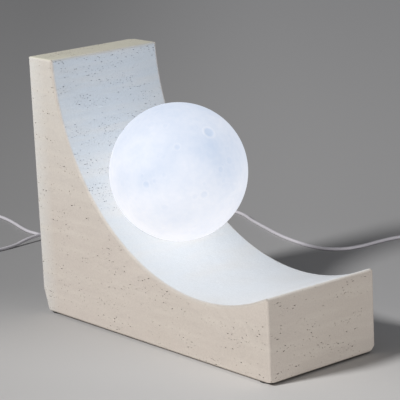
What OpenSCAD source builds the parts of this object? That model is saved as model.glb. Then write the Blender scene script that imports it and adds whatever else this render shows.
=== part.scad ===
// Globe table lamp: a cast stone body whose slide holds a glowing globe, fed by a thin low-voltage lead.
// X runs from the back of the column to the toe, Y across the width, Z up from the floor.

/* [Stone body] */
// Length of the body from the back of the column to the toe
body_l = 307; // [295:1:325]
// How far the globe stands out past each side of the body
globe_stand = 1; // [0.5:0.25:3]
// Height of the body above its foot pads
body_h = 233.5; // [226:0.5:245]
// Depth of the flat top of the column
top_d = 34.5; // [28:0.5:42]
// Height of the toe above the foot pads
toe_h = 72.5; // [66:0.5:82]
// Radius of the hollow slide
slide_r = 189; // [183:1:200]
// Rounding of the long edges of the body
edge_r = 2.5; // [1.5:0.25:4]
// Rounding of the two lips where the slide ends
lip_r = 3; // [1.5:0.25:5]

/* [Globe] */
// Outside diameter of the globe
globe_d = 120; // [114:1:124]
// Wall of the globe
globe_wall = 2.5; // [2:0.25:3.5]
// Depth that the globe sinks below the surface of the slide
globe_sink = 10.5; // [9.5:0.25:12]
// Lean of the seat's axis from the vertical towards the toe
seat_tilt = 41.5; // [39:0.5:44]
// Diameter of the hole in the bottom of the globe
neck_hole_d = 50; // [48:0.5:54]
// Gap between the globe and the dish in the stone
dish_gap = 1; // [0.6:0.1:2]

/* [Neck and seat] */
// Wall of the neck tube
neck_wall = 2; // [1.5:0.25:2.5]
// Radial gap between the neck tube and the hole in the globe
neck_slip = 1; // [0.6:0.1:1.5]
// Length of the neck tube below the hole
neck_drop = 21; // [17:0.5:25]
// Thickness of the neck's flange
neck_flange_t = 2.2; // [1.8:0.1:3]
// Width of the neck's flange beyond the hole
neck_flange_w = 4.5; // [3.5:0.25:5.5]
// Thickness of the rubber ring under the neck's flange
gasket_t = 1.2; // [0.8:0.1:2]
// Radial gap between the neck tube and the seat cup
cup_gap = 0.4; // [0.3:0.05:0.7]
// Wall of the seat cup
cup_wall = 3.2; // [2.8:0.1:4]
// Thickness of the seat cup's floor
cup_floor_t = 2.2; // [1.8:0.1:3.5]
// Thickness of the seat cup's flange
cup_flange_t = 2.5; // [2:0.25:3.5]
// Width of the seat cup's flange beyond its wall
cup_flange_w = 4.4; // [3.5:0.2:5.5]
// Clearance left at rest between a moving piece and its seat
seat_gap = 0.3; // [0.2:0.05:0.5]
// Clearance round a piece that is set into the stone
stone_gap = 0.4; // [0.3:0.05:0.8]
// Thickness of the spring leaves that grip the neck
clip_t = 0.4; // [0.3:0.05:0.6]
// Width of the spring leaves
clip_w = 6; // [4:0.5:8]

/* [Light engine] */
// Diameter of the heat sink's top plate
sink_d = 34; // [32:0.5:35]
// Height of the heat sink
sink_h = 36; // [32:0.5:40]
// Thickness of the heat sink's plates
sink_plate_t = 3; // [2.5:0.25:4]
// Number of fins on the heat sink
fin_n = 12; // [8:1:14]
// Thickness of a fin
fin_t = 1.6; // [1.2:0.1:2]
// Thickness of the light board
board_t = 1.6; // [1:0.2:2]
// Number of light chips in the ring
chip_n = 12; // [8:1:14]
// Diameter of the ring of chips
chip_ring_d = 22; // [20:0.5:23]
// Wall of the dome over the chips
dome_wall = 1.2; // [1:0.1:1.6]

/* [Base] */
// Thickness of the foot pads
pad_t = 1.5; // [1:0.25:3]
// Diameter of the foot pads
pad_d = 17; // [14:0.5:18]
// Length of the hollow under the body
cavity_l = 106; // [100:1:125]
// Thickness of stone between each side and the hollow
side_wall = 31; // [30:0.5:32]
// Height of the hollow under the body
cavity_h = 30; // [28:0.5:34]
// Thickness of stone between the back and the hollow
back_wall = 20; // [18:0.5:24]
// Width of the ledge that the base cover lies on
ledge_w = 11; // [10:0.5:12]
// Thickness of the base cover
cover_t = 2.5; // [2:0.25:3]
// Depth of the base cover's face inside the body
cover_inset = 0.5; // [0.3:0.1:1]

/* [Lead] */
// Diameter of the lead
cord_d = 3.4; // [3:0.1:3.8]
// Height of the lead's outlet above the bottom of the body
outlet_h = 15; // [13.5:0.5:16]
// Length of the tapered relief behind the body
relief_l = 20; // [20:1:30]

/* [Switch] */
// Length of the switch's case
switch_l = 52; // [48:1:60]
// Width of the switch's case
switch_w = 18; // [17:0.5:22]
// Height of the switch's case
switch_h = 12.5; // [12:0.25:14]
// Wall of the switch's case
switch_wall = 1.5; // [1.2:0.1:1.8]
// Tilt of the rocker to each side
rocker_tilt = 8; // [6:0.5:9]

/* [Plug] */
// Length of the plug's moulded grip
grip_l = 20; // [18:1:26]
// Width of the plug's grip
grip_w = 15.5; // [14:0.5:17]
// Height of the plug's grip
grip_h = 8; // [7:0.25:9]

/* [Hidden] */
$fn = 96;
// Small overshoot that keeps a cut open past a face
cut = 1;

// Stone body, worked out from its sizes
body_w = globe_d - 2 * globe_stand;
base_z = pad_t;
top_z = base_z + body_h;
toe_z = base_z + toe_h;
back_x = -body_l / 2;
toe_x = body_l / 2;
top_lip = [back_x + top_d, top_z];
toe_lip = [toe_x, toe_z];
lip_span = norm(toe_lip - top_lip);
lip_way = (toe_lip - top_lip) / lip_span;
slide_rise = sqrt(pow(slide_r, 2) - pow(lip_span / 2, 2));
slide_c = (top_lip + toe_lip) / 2 + slide_rise * [-lip_way[1], lip_way[0]];

// Seat, along its own axis from the surface of the slide
globe_r = globe_d / 2;
globe_c = globe_r - globe_sink;
hole_r = neck_hole_d / 2;
hole_z = globe_c - sqrt(pow(globe_r, 2) - pow(hole_r, 2));
neck_r = hole_r - neck_slip;
neck_low_z = hole_z - neck_drop;
neck_flange_z = hole_z - neck_flange_t;
gasket_z = neck_flange_z - seat_gap - gasket_t;
cup_flange_z = gasket_z - cup_flange_t;
cup_bore_r = neck_r + cup_gap;
cup_r = cup_bore_r + cup_wall;
cup_flange_r = cup_r + cup_flange_w;
seat_point = [slide_c[0] - slide_r * sin(seat_tilt), 0, slide_c[1] - slide_r * cos(seat_tilt)];

// Light engine, along the seat's axis
board_rise = 1;
board_z = hole_z + board_rise;
sink_top_z = board_z - board_t;
floor_z = sink_top_z - sink_h;
cup_low_z = floor_z - cup_floor_t;
pocket_z = cup_low_z - seat_gap;
sink_r = sink_d / 2;
sink_foot_r = sink_r - 1.5;
sink_hub_r = 7;
sink_bore_r = 3;
sink_screw_at = 10;
seat_screw_at = cup_bore_r - 4.1;
seat_screw_turn = 60;
clip_l = 13;
clip_low_z = gasket_z - clip_l - 0.5;
clip_groove_d = 2;
board_r = sink_r - 0.5;
board_hole_r = 2.5;
board_screw_at = 7;
dome_bore_r = sink_r + 0.1;
dome_r = dome_bore_r + dome_wall;
dome_skirt = 3;
dome_ledge_w = 1;
dome_ledge_h = 1;
grommet_r = 4.4;
wire_bore_r = 6;
lead_r = 0.8;
head_room_r = sink_screw_at + 4;
head_room = 3;

// Fasteners, by their nominal thread
m3_r = 1.5;
m3_head_r = 2.6;
m3_head_h = 2;
m4_r = 2;
m4_head_r = 3.6;
insert_wall = 0.7;
insert_l = 8;
thread_gap = 0.1;

// Base hollow and cover
cavity_w = body_w - 2 * side_wall;
cavity_x0 = back_x + back_wall;
cavity_mid = cavity_x0 + cavity_l / 2;
cavity_r = 5;
recess_z = base_z + cover_inset + cover_t;
roof_z = base_z + cavity_h;
cover_gap = stone_gap;
cover_edge = 2 * (ledge_w - cover_gap);
cover_top_z = recess_z;
cover_screw_x = (cavity_l + ledge_w) / 2;
cover_screw_y = (cavity_w + ledge_w) / 2;
pad_in = 4;
pad_x = body_l / 2 - pad_in - pad_d / 2;
pad_y = body_w / 2 - 2 - pad_d / 2;

// Driver, clamp and terminals in the hollow
outlet_z = base_z + outlet_h;
cord_r = cord_d / 2;
cord_slip = 0.1;
driver_l = 50;
driver_w = 38;
driver_t = 1.6;
driver_x0 = cavity_x0 + 30;
driver_z = cover_top_z + 6;
driver_top_z = driver_z + driver_t;
driver_hole = 3;
block_l = 9;
block_w = 12;
block_h = 9;
block_x0 = driver_x0 + 6.5;
block_y = 11.5;
block_entry_z = driver_top_z + 3.4;
block_pitch = 5.5;
clamp_x = cavity_x0 + 13;
clamp_l = 9;
clamp_w = 26;
clamp_t = 3;
clamp_screw_y = 8.5;
core_r = 0.7;
core_split_x = cavity_x0 + 21;
bush_r = 4.8;
bush_flange_r = 7;
bush_flange_t = 1.8;
bush_tip_x = back_x - bush_flange_t - relief_l;

// Switch
switch_split = switch_h / 2 - 0.25;
switch_round = 2.5;
snout_l = 6;
snout_r = 3.2;
switch_screw_x = switch_l / 2 - 8;
rocker_half = 8;
rocker_w = 8.2;
rocker_pivot_z = switch_h - 2.5;
rocker_pin_r = 1.2;
window_gap = 0.7;
cheek_t = 2;
window_l = 2 * (rocker_half + window_gap);
window_w = rocker_w + window_gap;
cheek_y = (window_w + cheek_t) / 2;
pin_l = window_w + 2 * cheek_t - 1;
plug_z = grip_h / 2;
plug_relief_l = 14;
plug_shell_w = 12;
plug_shell_h = 4.5;
plug_shell_t = 0.3;
plug_mouth_h = plug_shell_h - 2 * plug_shell_t;
plug_tongue_h = 1.9;
plug_out_l = 12;
plug_in_l = 7;
plug_in_x = plug_relief_l + grip_l - plug_in_l;

// Coil: turns wind in near the floor, climb where the spiral reverses and wind out on top
coil_in_r = 14.5;
coil_step = 3.9;
coil_turns = 3.25;
coil_turn_rings = 24;
coil_mid = coil_turns / 2;
coil_out_r = coil_in_r + coil_step * coil_mid;
tie_t = 0.5;
tie_w = 7;
tie_turn = 0.125;
tie_slack = 0.4;
coil_c = [-26, 344, tie_t + tie_slack + cord_r];

// Lead on the floor, chosen by hand: from the body to the switch, and from the switch to the coil
floor_z0 = cord_r;
switch_axis_z = switch_h / 2 - 0.25;
lamp_route = [[bush_tip_x, 0, outlet_z], [-183, 0, 16], [-197, 1, 13], [-213, 4, 8.5],
    [-230, 10, 4], [-248, 20, floor_z0], [-270, 35, floor_z0], [-292, 51, floor_z0],
    [-311, 65, floor_z0], [-328, 77, floor_z0], [-344, 87, floor_z0], [-359, 92, floor_z0],
    [-375, 94, floor_z0], [-392, 94, floor_z0], [-409, 97, floor_z0], [-429, 102.5, floor_z0],
    [-450, 107.5, floor_z0], [-471, 110, floor_z0], [-491, 107, floor_z0], [-506, 97, 2],
    [-512.5, 85, 4], [-514, 75, 5.9], [-514, 68, switch_axis_z]];
plug_route = [[-514, 4, switch_axis_z], [-514, -3, 5.9], [-512.5, -13, 4], [-506, -27, 2],
    [-491, -40, floor_z0], [-467, -48, floor_z0], [-439, -49, floor_z0], [-411, -42, floor_z0],
    [-386, -26, floor_z0], [-368, -4, floor_z0], [-359, 18, floor_z0], [-357, 38, floor_z0],
    [-358, 52, 2.2], [-359.5, 65, 4.3], [-360.5, 79, 5.6], [-361, 93, 5.8], [-363, 107, 4.8],
    [-367, 122, 2.9], [-373, 142, floor_z0], [-381, 168, floor_z0], [-384, 195, floor_z0],
    [-377, 223, floor_z0], [-360, 251, floor_z0], [-336, 275, floor_z0], [-309, 289, floor_z0],
    [-278, 289, floor_z0], [-246, 277, floor_z0], [-213, 266, floor_z0], [-181, 256, floor_z0],
    [-152, 250, floor_z0], [-126, 248, floor_z0], [-106, 252, floor_z0], [-93, 264, floor_z0],
    [-88, 282, floor_z0], [-87, 304, floor_z0], [-84, 326, floor_z0], [-74, 346, floor_z0],
    [-57, 360, 2], [coil_c[0] - 2 * cord_d - 4, coil_c[1] + coil_out_r, 2.6],
    [coil_c[0] - cord_d, coil_c[1] + coil_out_r, coil_c[2]]];
switch_at = [-514, 36, 0];

tail_route = [[coil_c[0] + coil_out_r, coil_c[1] - cord_d, coil_c[2] + coil_step],
    [coil_c[0] + coil_out_r, 334, 6], [-3.5, 324.5, 3.9], [0.5, 314, 2], [8, 305, 2], [19, 300, 3],
    [28, 299, 3.9], [34, 299, plug_z]];
plug_at = [34, 299, plug_z];

// Place of a point on a smooth curve through four neighbours
function between(a, b, c, d, t) = 0.5 * (2 * b + (c - a) * t + (2 * a - 5 * b + 4 * c - d) * t * t
    + (3 * b - 3 * c + d - a) * t * t * t);
// Route with extra points on a smooth curve through the chosen ones
function smooth(p, steps) = concat([for (i = [0 : len(p) - 2], k = [0 : steps - 1])
    between(p[max(i - 1, 0)], p[i], p[i + 1], p[min(i + 2, len(p) - 1)], k / steps)], [p[len(p) - 1]]);
function unit(v) = v / norm(v);
// Direction of a route at one of its points; the ends take the given directions
function heading(p, i, first, last) = i == 0 ? first : i == len(p) - 1 ? last
    : unit(unit(p[i + 1] - p[i]) + unit(p[i] - p[i - 1]));
function ring(c, dir, side, r, n) = let (a = unit(cross(dir, side)), b = cross(a, dir))
    [for (k = [0 : n - 1]) let (t = (k + 0.5) * 360 / n) c + r * (cos(t) * b + sin(t) * a)];
// A point on the seat's axis, moved across by y
function on_seat(along, y = 0) = seat_point + [along * sin(seat_tilt), y, along * cos(seat_tilt)];
function coil_r(t) = coil_in_r + coil_step * abs(t - coil_mid);
function coil_rise(t) = coil_step * min(max((t - coil_mid) * 2 + 0.5, 0), 1);
function coil_point(t) = let (a = 90 - 360 * t)
    coil_c + [coil_r(t) * cos(a), coil_r(t) * sin(a), coil_rise(t)];

// Tube of n sides along a route
module tube(p, r, n, first, last, side = [0, 0, 1]) {
    rings = [for (i = [0 : len(p) - 1]) each ring(p[i], heading(p, i, first, last), side, r, n)];
    m = len(p);
    walls = [for (i = [0 : m - 2], k = [0 : n - 1]) let (a = i * n + k, b = i * n + (k + 1) % n)
        each [[a, b, b + n], [a, b + n, a + n]]];
    e = (m - 1) * n;
    caps = [for (k = [1 : n - 2]) each [[0, k + 1, k], [e, e + k, e + k + 1]]];
    polyhedron(points = rings, faces = concat(walls, caps));
}

// Flat outline with round corners, centred
module round_rect(l, w, r) {
    square([l - 2 * r, w], center = true);
    square([l, w - 2 * r], center = true);
    for (x = [-1, 1], y = [-1, 1])
        translate([x * (l / 2 - r), y * (w / 2 - r)])
            circle(r);
}

// Places children upright on the seat's axis
module on_seat_axis() {
    translate(seat_point)
        rotate([0, seat_tilt, 0])
            children();
}

module ring_of(n, r, turn = 0) {
    for (i = [0 : n - 1])
        rotate([0, 0, turn + i * 360 / n])
            translate([r, 0, 0])
                children();
}

module along_x() {
    rotate([0, 90, 0])
        children();
}

module along_y(w) {
    rotate([90, 0, 0])
        linear_extrude(w, center = true)
            children();
}

// Pan head screw, its seat at 0 and its thread down
module pan_screw(r, head_r, head_h, l) {
    difference() {
        cylinder(h = head_h, r = head_r);
        translate([0, 0, head_h])
            cube([2 * head_r * 0.7, 0.8, head_h], center = true);
        translate([0, 0, head_h])
            cube([0.8, 2 * head_r * 0.7, head_h], center = true);
    }
    translate([0, 0, -l])
        cylinder(h = l, r = r);
}

// Sharp lip rounded to lip_r: f is the rounding's centre, edge its touch on the flat face
module lip_cut(f, edge, corner) {
    touch = slide_c + (f - slide_c) * slide_r / (slide_r + lip_r);
    difference() {
        polygon([f, edge, corner + (corner - f), touch]);
        translate(f)
            circle(lip_r);
    }
}

module body_profile() {
    reach = slide_r + lip_r;
    top_f = [slide_c[0] - sqrt(pow(reach, 2) - pow(top_z - lip_r - slide_c[1], 2)), top_z - lip_r];
    toe_f = [toe_x - lip_r, slide_c[1] - sqrt(pow(reach, 2) - pow(toe_x - lip_r - slide_c[0], 2))];
    difference() {
        translate([0, base_z + body_h / 2])
            round_rect(body_l, body_h, edge_r);
        translate(slide_c)
            circle(slide_r, $fn = 240);
        lip_cut(top_f, [top_f[0], top_z], top_lip);
        lip_cut(toe_f, [toe_x, toe_f[1]], toe_lip);
    }
}

// Takes the sharp edge off the slide where it meets a side face
module slide_edge_cut() {
    difference() {
        translate([slide_r - cut, body_w / 2 - edge_r])
            square([edge_r + cut, edge_r + cut]);
        translate([slide_r + edge_r, body_w / 2 - edge_r])
            circle(edge_r);
    }
}

module base_hollow() {
    translate([cavity_mid, 0, base_z - cut])
        linear_extrude(recess_z - base_z + cut)
            round_rect(cavity_l + 2 * ledge_w, cavity_w + 2 * ledge_w, cavity_r + 2);
    translate([cavity_mid, 0, base_z])
        linear_extrude(cavity_h)
            round_rect(cavity_l, cavity_w, cavity_r);
    for (x = [-1, 1], y = [-1, 1])
        translate([cavity_mid + x * cover_screw_x, y * cover_screw_y, recess_z - cut])
            cylinder(h = insert_l + 4 + cut, r = m4_r + insert_wall + 2 * thread_gap, $fn = 32);
    translate([back_x - cut, 0, outlet_z])
        along_x()
            cylinder(h = back_wall + 2 * cut, r = bush_r + stone_gap);
}

module seat_hollow() {
    translate([0, 0, globe_c])
        sphere(globe_r + dish_gap, $fn = 160);
    translate([0, 0, cup_flange_z])
        cylinder(h = -cup_flange_z, r = cup_flange_r + stone_gap);
    translate([0, 0, pocket_z])
        cylinder(h = cup_flange_z - pocket_z + cut, r = cup_r + stone_gap);
    translate([0, 0, pocket_z - head_room])
        cylinder(h = head_room + cut, r = head_room_r);
    ring_of(3, seat_screw_at, seat_screw_turn)
        translate([0, 0, pocket_z - insert_l - 2])
            cylinder(h = insert_l + 2 + cut, r = m3_r + insert_wall + 2 * thread_gap, $fn = 32);
    bore_l = (seat_point[2] - roof_z) / cos(seat_tilt) + pocket_z + wire_bore_r;
    translate([0, 0, pocket_z - head_room - bore_l])
        cylinder(h = bore_l + cut, r = wire_bore_r);
}

module stone_body() {
    color([0.86, 0.82, 0.76])
        difference() {
            intersection() {
                along_y(body_w)
                    body_profile();
                translate([0, 0, base_z])
                    linear_extrude(body_h)
                        round_rect(body_l, body_w, edge_r);
                translate([0, 0, base_z + body_h / 2])
                    rotate([90, 0, 90])
                        linear_extrude(body_l, center = true)
                            round_rect(body_w, body_h, edge_r);
            }
            for (side = [0, 180])
                translate([slide_c[0], 0, slide_c[1]])
                    rotate([90 + side, 0, 0])
                        rotate_extrude($fn = 240)
                            slide_edge_cut();
            on_seat_axis()
                seat_hollow();
            base_hollow();
        }
}

module insert(r, l) {
    difference() {
        translate([0, 0, -l])
            cylinder(h = l, r = r + insert_wall + thread_gap, $fn = 32);
        translate([0, 0, -l - cut])
            cylinder(h = l + 2 * cut, r = r + thread_gap, $fn = 32);
    }
}

module threaded_inserts() {
    color([0.78, 0.62, 0.32]) {
        on_seat_axis()
            ring_of(3, seat_screw_at, seat_screw_turn)
                translate([0, 0, pocket_z])
                    insert(m3_r, insert_l);
        for (x = [-1, 1], y = [-1, 1])
            translate([cavity_mid + x * cover_screw_x, y * cover_screw_y, recess_z])
                mirror([0, 0, 1])
                    insert(m4_r, insert_l);
    }
}

// Window in the cup's wall behind each spring leaf
module clip_groove() {
    translate([cup_bore_r - cut, -clip_w / 2 - seat_gap, clip_low_z])
        cube([cut + clip_groove_d, clip_w + 2 * seat_gap, gasket_z - clip_low_z + gasket_t / 2]);
}

module seat_cup() {
    color([0.92, 0.92, 0.9])
        on_seat_axis()
            difference() {
                union() {
                    translate([0, 0, cup_low_z])
                        cylinder(h = gasket_z - cup_low_z, r = cup_r);
                    translate([0, 0, cup_flange_z])
                        cylinder(h = cup_flange_t, r = cup_flange_r);
                }
                translate([0, 0, floor_z])
                    cylinder(h = gasket_z - floor_z + cut, r = cup_bore_r);
                translate([0, 0, cup_low_z - cut])
                    cylinder(h = cup_floor_t + 2 * cut, r = grommet_r + 0.1);
                ring_of(3, seat_screw_at, seat_screw_turn)
                    translate([0, 0, cup_low_z - cut])
                        cylinder(h = cup_floor_t + 2 * cut, r = m3_r + 0.2, $fn = 32);
                ring_of(2, sink_screw_at)
                    translate([0, 0, cup_low_z - cut])
                        cylinder(h = cup_floor_t + 2 * cut, r = m3_r + 0.2, $fn = 32);
                ring_of(3, 0)
                    clip_groove();
            }
}

module seat_screws() {
    color([0.75, 0.75, 0.77])
        on_seat_axis()
            ring_of(3, seat_screw_at, seat_screw_turn)
                translate([0, 0, floor_z])
                    pan_screw(m3_r, m3_head_r, m3_head_h, cup_floor_t + insert_l);
}

module seat_gasket() {
    color([0.2, 0.2, 0.2])
        on_seat_axis()
            translate([0, 0, gasket_z])
                difference() {
                    cylinder(h = gasket_t, r = hole_r + neck_flange_w);
                    translate([0, 0, -cut])
                        cylinder(h = gasket_t + 2 * cut, r = cup_bore_r + 0.4);
                }
}

// Bent spring leaf, its bow turned to the neck
module clip_leaf() {
    bow = neck_r + seat_gap;
    back = cup_bore_r + clip_groove_d - clip_t;
    translate([0, 0, clip_low_z + clip_l])
        along_y(clip_w)
            polygon([[back, 0], [bow, -5], [bow, -8], [back, -clip_l], [back + clip_t, -clip_l],
                [back + clip_t, -clip_l + 0.4], [bow + clip_t, -7.8], [bow + clip_t, -5.2],
                [back + clip_t, -0.4], [back + clip_t, 0]]);
}

module neck_clips() {
    color([0.7, 0.7, 0.72])
        on_seat_axis()
            ring_of(3, 0)
                clip_leaf();
}

module heat_sink() {
    color([0.8, 0.8, 0.82])
        on_seat_axis()
            difference() {
                union() {
                    translate([0, 0, floor_z])
                        cylinder(h = sink_h, r = sink_hub_r);
                    translate([0, 0, floor_z])
                        cylinder(h = sink_plate_t, r = sink_foot_r);
                    translate([0, 0, sink_top_z - sink_plate_t])
                        cylinder(h = sink_plate_t, r = sink_r);
                    ring_of(fin_n, 0, 180 / fin_n)
                        translate([sink_hub_r - 2, -fin_t / 2, floor_z + 1])
                            cube([sink_foot_r - sink_hub_r + 1.5, fin_t, sink_h - 2]);
                }
                translate([0, 0, floor_z - cut])
                    cylinder(h = sink_h + 2 * cut, r = sink_bore_r, $fn = 32);
                ring_of(2, sink_screw_at)
                    translate([0, 0, floor_z - cut])
                        cylinder(h = sink_plate_t + 5 + cut, r = m3_r + thread_gap, $fn = 32);
                ring_of(2, board_screw_at, 90)
                    translate([0, 0, sink_top_z - 6])
                        cylinder(h = 6 + cut, r = 1 + thread_gap, $fn = 32);
            }
}

module sink_screws() {
    color([0.75, 0.75, 0.77])
        on_seat_axis()
            ring_of(2, sink_screw_at)
                translate([0, 0, cup_low_z])
                    mirror([0, 0, 1])
                        pan_screw(m3_r, m3_head_r, m3_head_h, cup_floor_t + 6);
}

module light_board() {
    color([0.96, 0.96, 0.95])
        on_seat_axis()
            translate([0, 0, sink_top_z])
                difference() {
                    cylinder(h = board_t, r = board_r);
                    translate([0, 0, -cut])
                        cylinder(h = board_t + 2 * cut, r = board_hole_r, $fn = 32);
                    ring_of(2, board_screw_at, 90)
                        translate([0, 0, -cut])
                            cylinder(h = board_t + 2 * cut, r = 1.2, $fn = 32);
                }
}

module light_chips() {
    color([0.95, 0.85, 0.45])
        on_seat_axis()
            ring_of(chip_n, chip_ring_d / 2, 180 / chip_n)
                translate([0, 0, board_z])
                    linear_extrude(0.8)
                        square([2.8, 3], center = true);
}

module board_screws() {
    color([0.75, 0.75, 0.77])
        on_seat_axis()
            ring_of(2, board_screw_at, 90)
                translate([0, 0, board_z])
                    pan_screw(1, 1.8, 1.3, board_t + 5);
}

module light_dome() {
    color([0.97, 0.98, 1, 0.8])
        on_seat_axis()
            translate([0, 0, board_z + dome_ledge_h])
                rotate_extrude() {
                    intersection() {
                        difference() {
                            circle(dome_r);
                            circle(dome_bore_r);
                        }
                        square(dome_r);
                    }
                    translate([dome_bore_r, -dome_skirt])
                        square([dome_wall, dome_skirt]);
                    translate([board_r - dome_ledge_w, -dome_ledge_h])
                        square([dome_bore_r - board_r + dome_ledge_w + dome_wall, dome_ledge_h]);
                }
}

module wire_grommet() {
    color([0.15, 0.15, 0.15])
        on_seat_axis()
            translate([0, 0, cup_low_z])
                difference() {
                    union() {
                        cylinder(h = cup_floor_t, r = grommet_r);
                        translate([0, 0, -1.5])
                            cylinder(h = 1.5, r = grommet_r + 1);
                    }
                    translate([0, 0, -1.5 - cut])
                        cylinder(h = cup_floor_t + 1.5 + 2 * cut, r = 2.3, $fn = 32);
                }
}

// Two insulated leads from the light board down to the driver
module light_leads() {
    end_x = block_x0 + 3;
    roof_along = (roof_z - seat_point[2]) / cos(seat_tilt);
    for (s = [-1, 1]) {
        y = block_y + s * block_pitch / 2;
        p = [on_seat(board_z, s * 1.1), on_seat(cup_low_z - 4, s * 1.1),
            on_seat(roof_along * 0.7, s * 1.1), on_seat(roof_along + 8, s * 1.1),
            on_seat(roof_along - 1, 1 + s * 1.1),
            [cavity_x0 + 12, 4 + s * 1.2, roof_z - 5], [cavity_x0 + 14.5, 8 + s * 1.8, roof_z - 7.7],
            [cavity_x0 + 21.5, y - 0.7, block_entry_z + 5], [driver_x0 - 2.5, y, block_entry_z + 1.3],
            [driver_x0 + 3.5, y, block_entry_z], [end_x, y, block_entry_z]];
        color(s > 0 ? [0.75, 0.1, 0.1] : [0.1, 0.1, 0.1])
            tube(smooth(p, 2), lead_r, 6, -[sin(seat_tilt), 0, cos(seat_tilt)], [1, 0, 0], [0, 1, 0]);
    }
}

module driver_board() {
    color([0.1, 0.4, 0.2])
        translate([driver_x0, -driver_w / 2, driver_z])
            difference() {
                cube([driver_l, driver_w, driver_t]);
                for (x = [driver_hole, driver_l - driver_hole], y = [driver_hole, driver_w - driver_hole])
                    translate([x, y, -cut])
                        cylinder(h = driver_t + 2 * cut, r = 1.4, $fn = 32);
            }
}

// Coil former, capacitor, chips and resistors standing on the driver board
module driver_parts() {
    x0 = driver_x0 + block_l + 12;
    color([0.35, 0.3, 0.28])
        translate([x0 + 5, 9, driver_top_z]) {
            cylinder(h = 1.2, r = 6);
            cylinder(h = 7, r = 4.2);
            translate([0, 0, 5.8])
                cylinder(h = 1.2, r = 6);
        }
    color([0.15, 0.2, 0.35])
        translate([x0 + 5, -9, driver_top_z])
            difference() {
                cylinder(h = 11, r = 4);
                translate([0, 0, 1.6])
                    rotate_extrude()
                        translate([4.3, 0])
                            circle(0.7, $fn = 24);
            }
    color([0.12, 0.12, 0.12]) {
        translate([x0 + 15, -4, driver_top_z])
            cube([6, 8, 1.7]);
        translate([x0 + 14, 8, driver_top_z])
            cube([7, 5, 2.4]);
        for (k = [0 : 3])
            translate([x0 + 14.5, -15 + 2.6 * k, driver_top_z])
                cube([3.2, 1.6, 0.6]);
    }
}

module driver_screws() {
    color([0.75, 0.75, 0.77])
        for (x = [driver_hole, driver_l - driver_hole], y = [-1, 1])
            translate([driver_x0 + x, y * (driver_w / 2 - driver_hole), driver_top_z])
                pan_screw(1.1, 2.1, 1.5, driver_t + 4);
}

module terminal_blocks() {
    color([0.25, 0.55, 0.3])
        for (y = [-block_y, block_y])
            translate([block_x0, y, driver_top_z])
                difference() {
                    translate([0, -block_w / 2, 0])
                        cube([block_l, block_w, block_h]);
                    for (s = [-1, 1]) {
                        translate([-cut, s * block_pitch / 2, block_entry_z - driver_top_z])
                            along_x()
                                cylinder(h = block_l - 2 + cut, r = 1.3, $fn = 32);
                        translate([block_l / 2, s * block_pitch / 2, block_entry_z - driver_top_z + 1.4])
                            cylinder(h = block_h, r = 1.7, $fn = 32);
                    }
                }
}

module terminal_screws() {
    color([0.75, 0.75, 0.77])
        for (y = [-block_y, block_y], s = [-1, 1])
            translate([block_x0 + block_l / 2, y + s * block_pitch / 2, block_entry_z + 1.4])
                difference() {
                    cylinder(h = 2.8, r = 1.6, $fn = 32);
                    translate([0, 0, 2.8])
                        cube([4, 0.7, 1.6], center = true);
                }
}

// Two cores from the end of the lead's jacket to the driver
module cord_cores() {
    for (s = [-1, 1]) {
        p = [[core_split_x, s * 0.8, outlet_z], [core_split_x + 2 + s * 0.8, s * 0.9, outlet_z],
            [driver_x0 - 3 + s * 1.2, -block_y / 2 + s * 1.5, (outlet_z + block_entry_z + 1) / 2 + s * 0.8],
            [driver_x0 + 3, -block_y + s * block_pitch / 2, block_entry_z],
            [block_x0 + 3, -block_y + s * block_pitch / 2, block_entry_z]];
        color(s > 0 ? [0.8, 0.15, 0.1] : [0.12, 0.12, 0.12])
            tube(smooth(p, 3), core_r, 6, [1, 0, 0], [1, 0, 0], [0, 1, 0]);
    }
}

module cord_inner_end() {
    color([0.93, 0.93, 0.93])
        translate([bush_tip_x, 0, outlet_z])
            along_x()
                cylinder(h = core_split_x - bush_tip_x, r = cord_r, $fn = 32);
}

module cord_clamp() {
    color([0.9, 0.9, 0.88])
        difference() {
            translate([clamp_x - clamp_l / 2, -clamp_w / 2, outlet_z + 0.3])
                cube([clamp_l, clamp_w, clamp_t]);
            translate([clamp_x - clamp_l, 0, outlet_z])
                along_x()
                    cylinder(h = 2 * clamp_l, r = cord_r + cord_slip, $fn = 32);
            for (y = [-1, 1])
                translate([clamp_x, y * clamp_screw_y, outlet_z - cut])
                    cylinder(h = clamp_t + 3 * cut, r = m3_r + 0.2, $fn = 32);
        }
}

module clamp_screws() {
    color([0.75, 0.75, 0.77])
        for (y = [-1, 1])
            translate([clamp_x, y * clamp_screw_y, outlet_z + 0.3 + clamp_t])
                pan_screw(m3_r, m3_head_r, m3_head_h, clamp_t + 7);
}

// Bush through the back wall with a ribbed, tapered relief outside
module cord_bush() {
    rib_n = 5;
    rib = relief_l / (rib_n + 1);
    root_r = 4.4;
    tip_r = cord_r + 1;
    bore = cord_r + cord_slip;
    slope = (root_r - tip_r) / relief_l;
    ribs = [for (i = [0 : rib_n - 1]) let (x = i * rib + rib / 2, r = root_r - slope * x)
        each [[r, x], [r - 0.7, x + 0.2], [r - 0.7, x + rib / 2 - 0.2],
            [r - slope * rib / 2, x + rib / 2]]];
    color([0.95, 0.95, 0.95])
        translate([back_x, 0, outlet_z])
            rotate([0, -90, 0])
                rotate_extrude()
                    polygon(concat([[bore, -back_wall - 2], [bush_r - 0.6, -back_wall - 2],
                        [bush_r + 0.9, -back_wall - 0.2], [bush_r, -back_wall - 0.2], [bush_r, 0],
                        [bush_flange_r, 0], [bush_flange_r, bush_flange_t - 0.6],
                        [bush_flange_r - 0.6, bush_flange_t], [root_r, bush_flange_t]],
                        [for (q = ribs) q + [0, bush_flange_t]],
                        [[tip_r, relief_l + bush_flange_t], [bore, relief_l + bush_flange_t]]));
}

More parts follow.
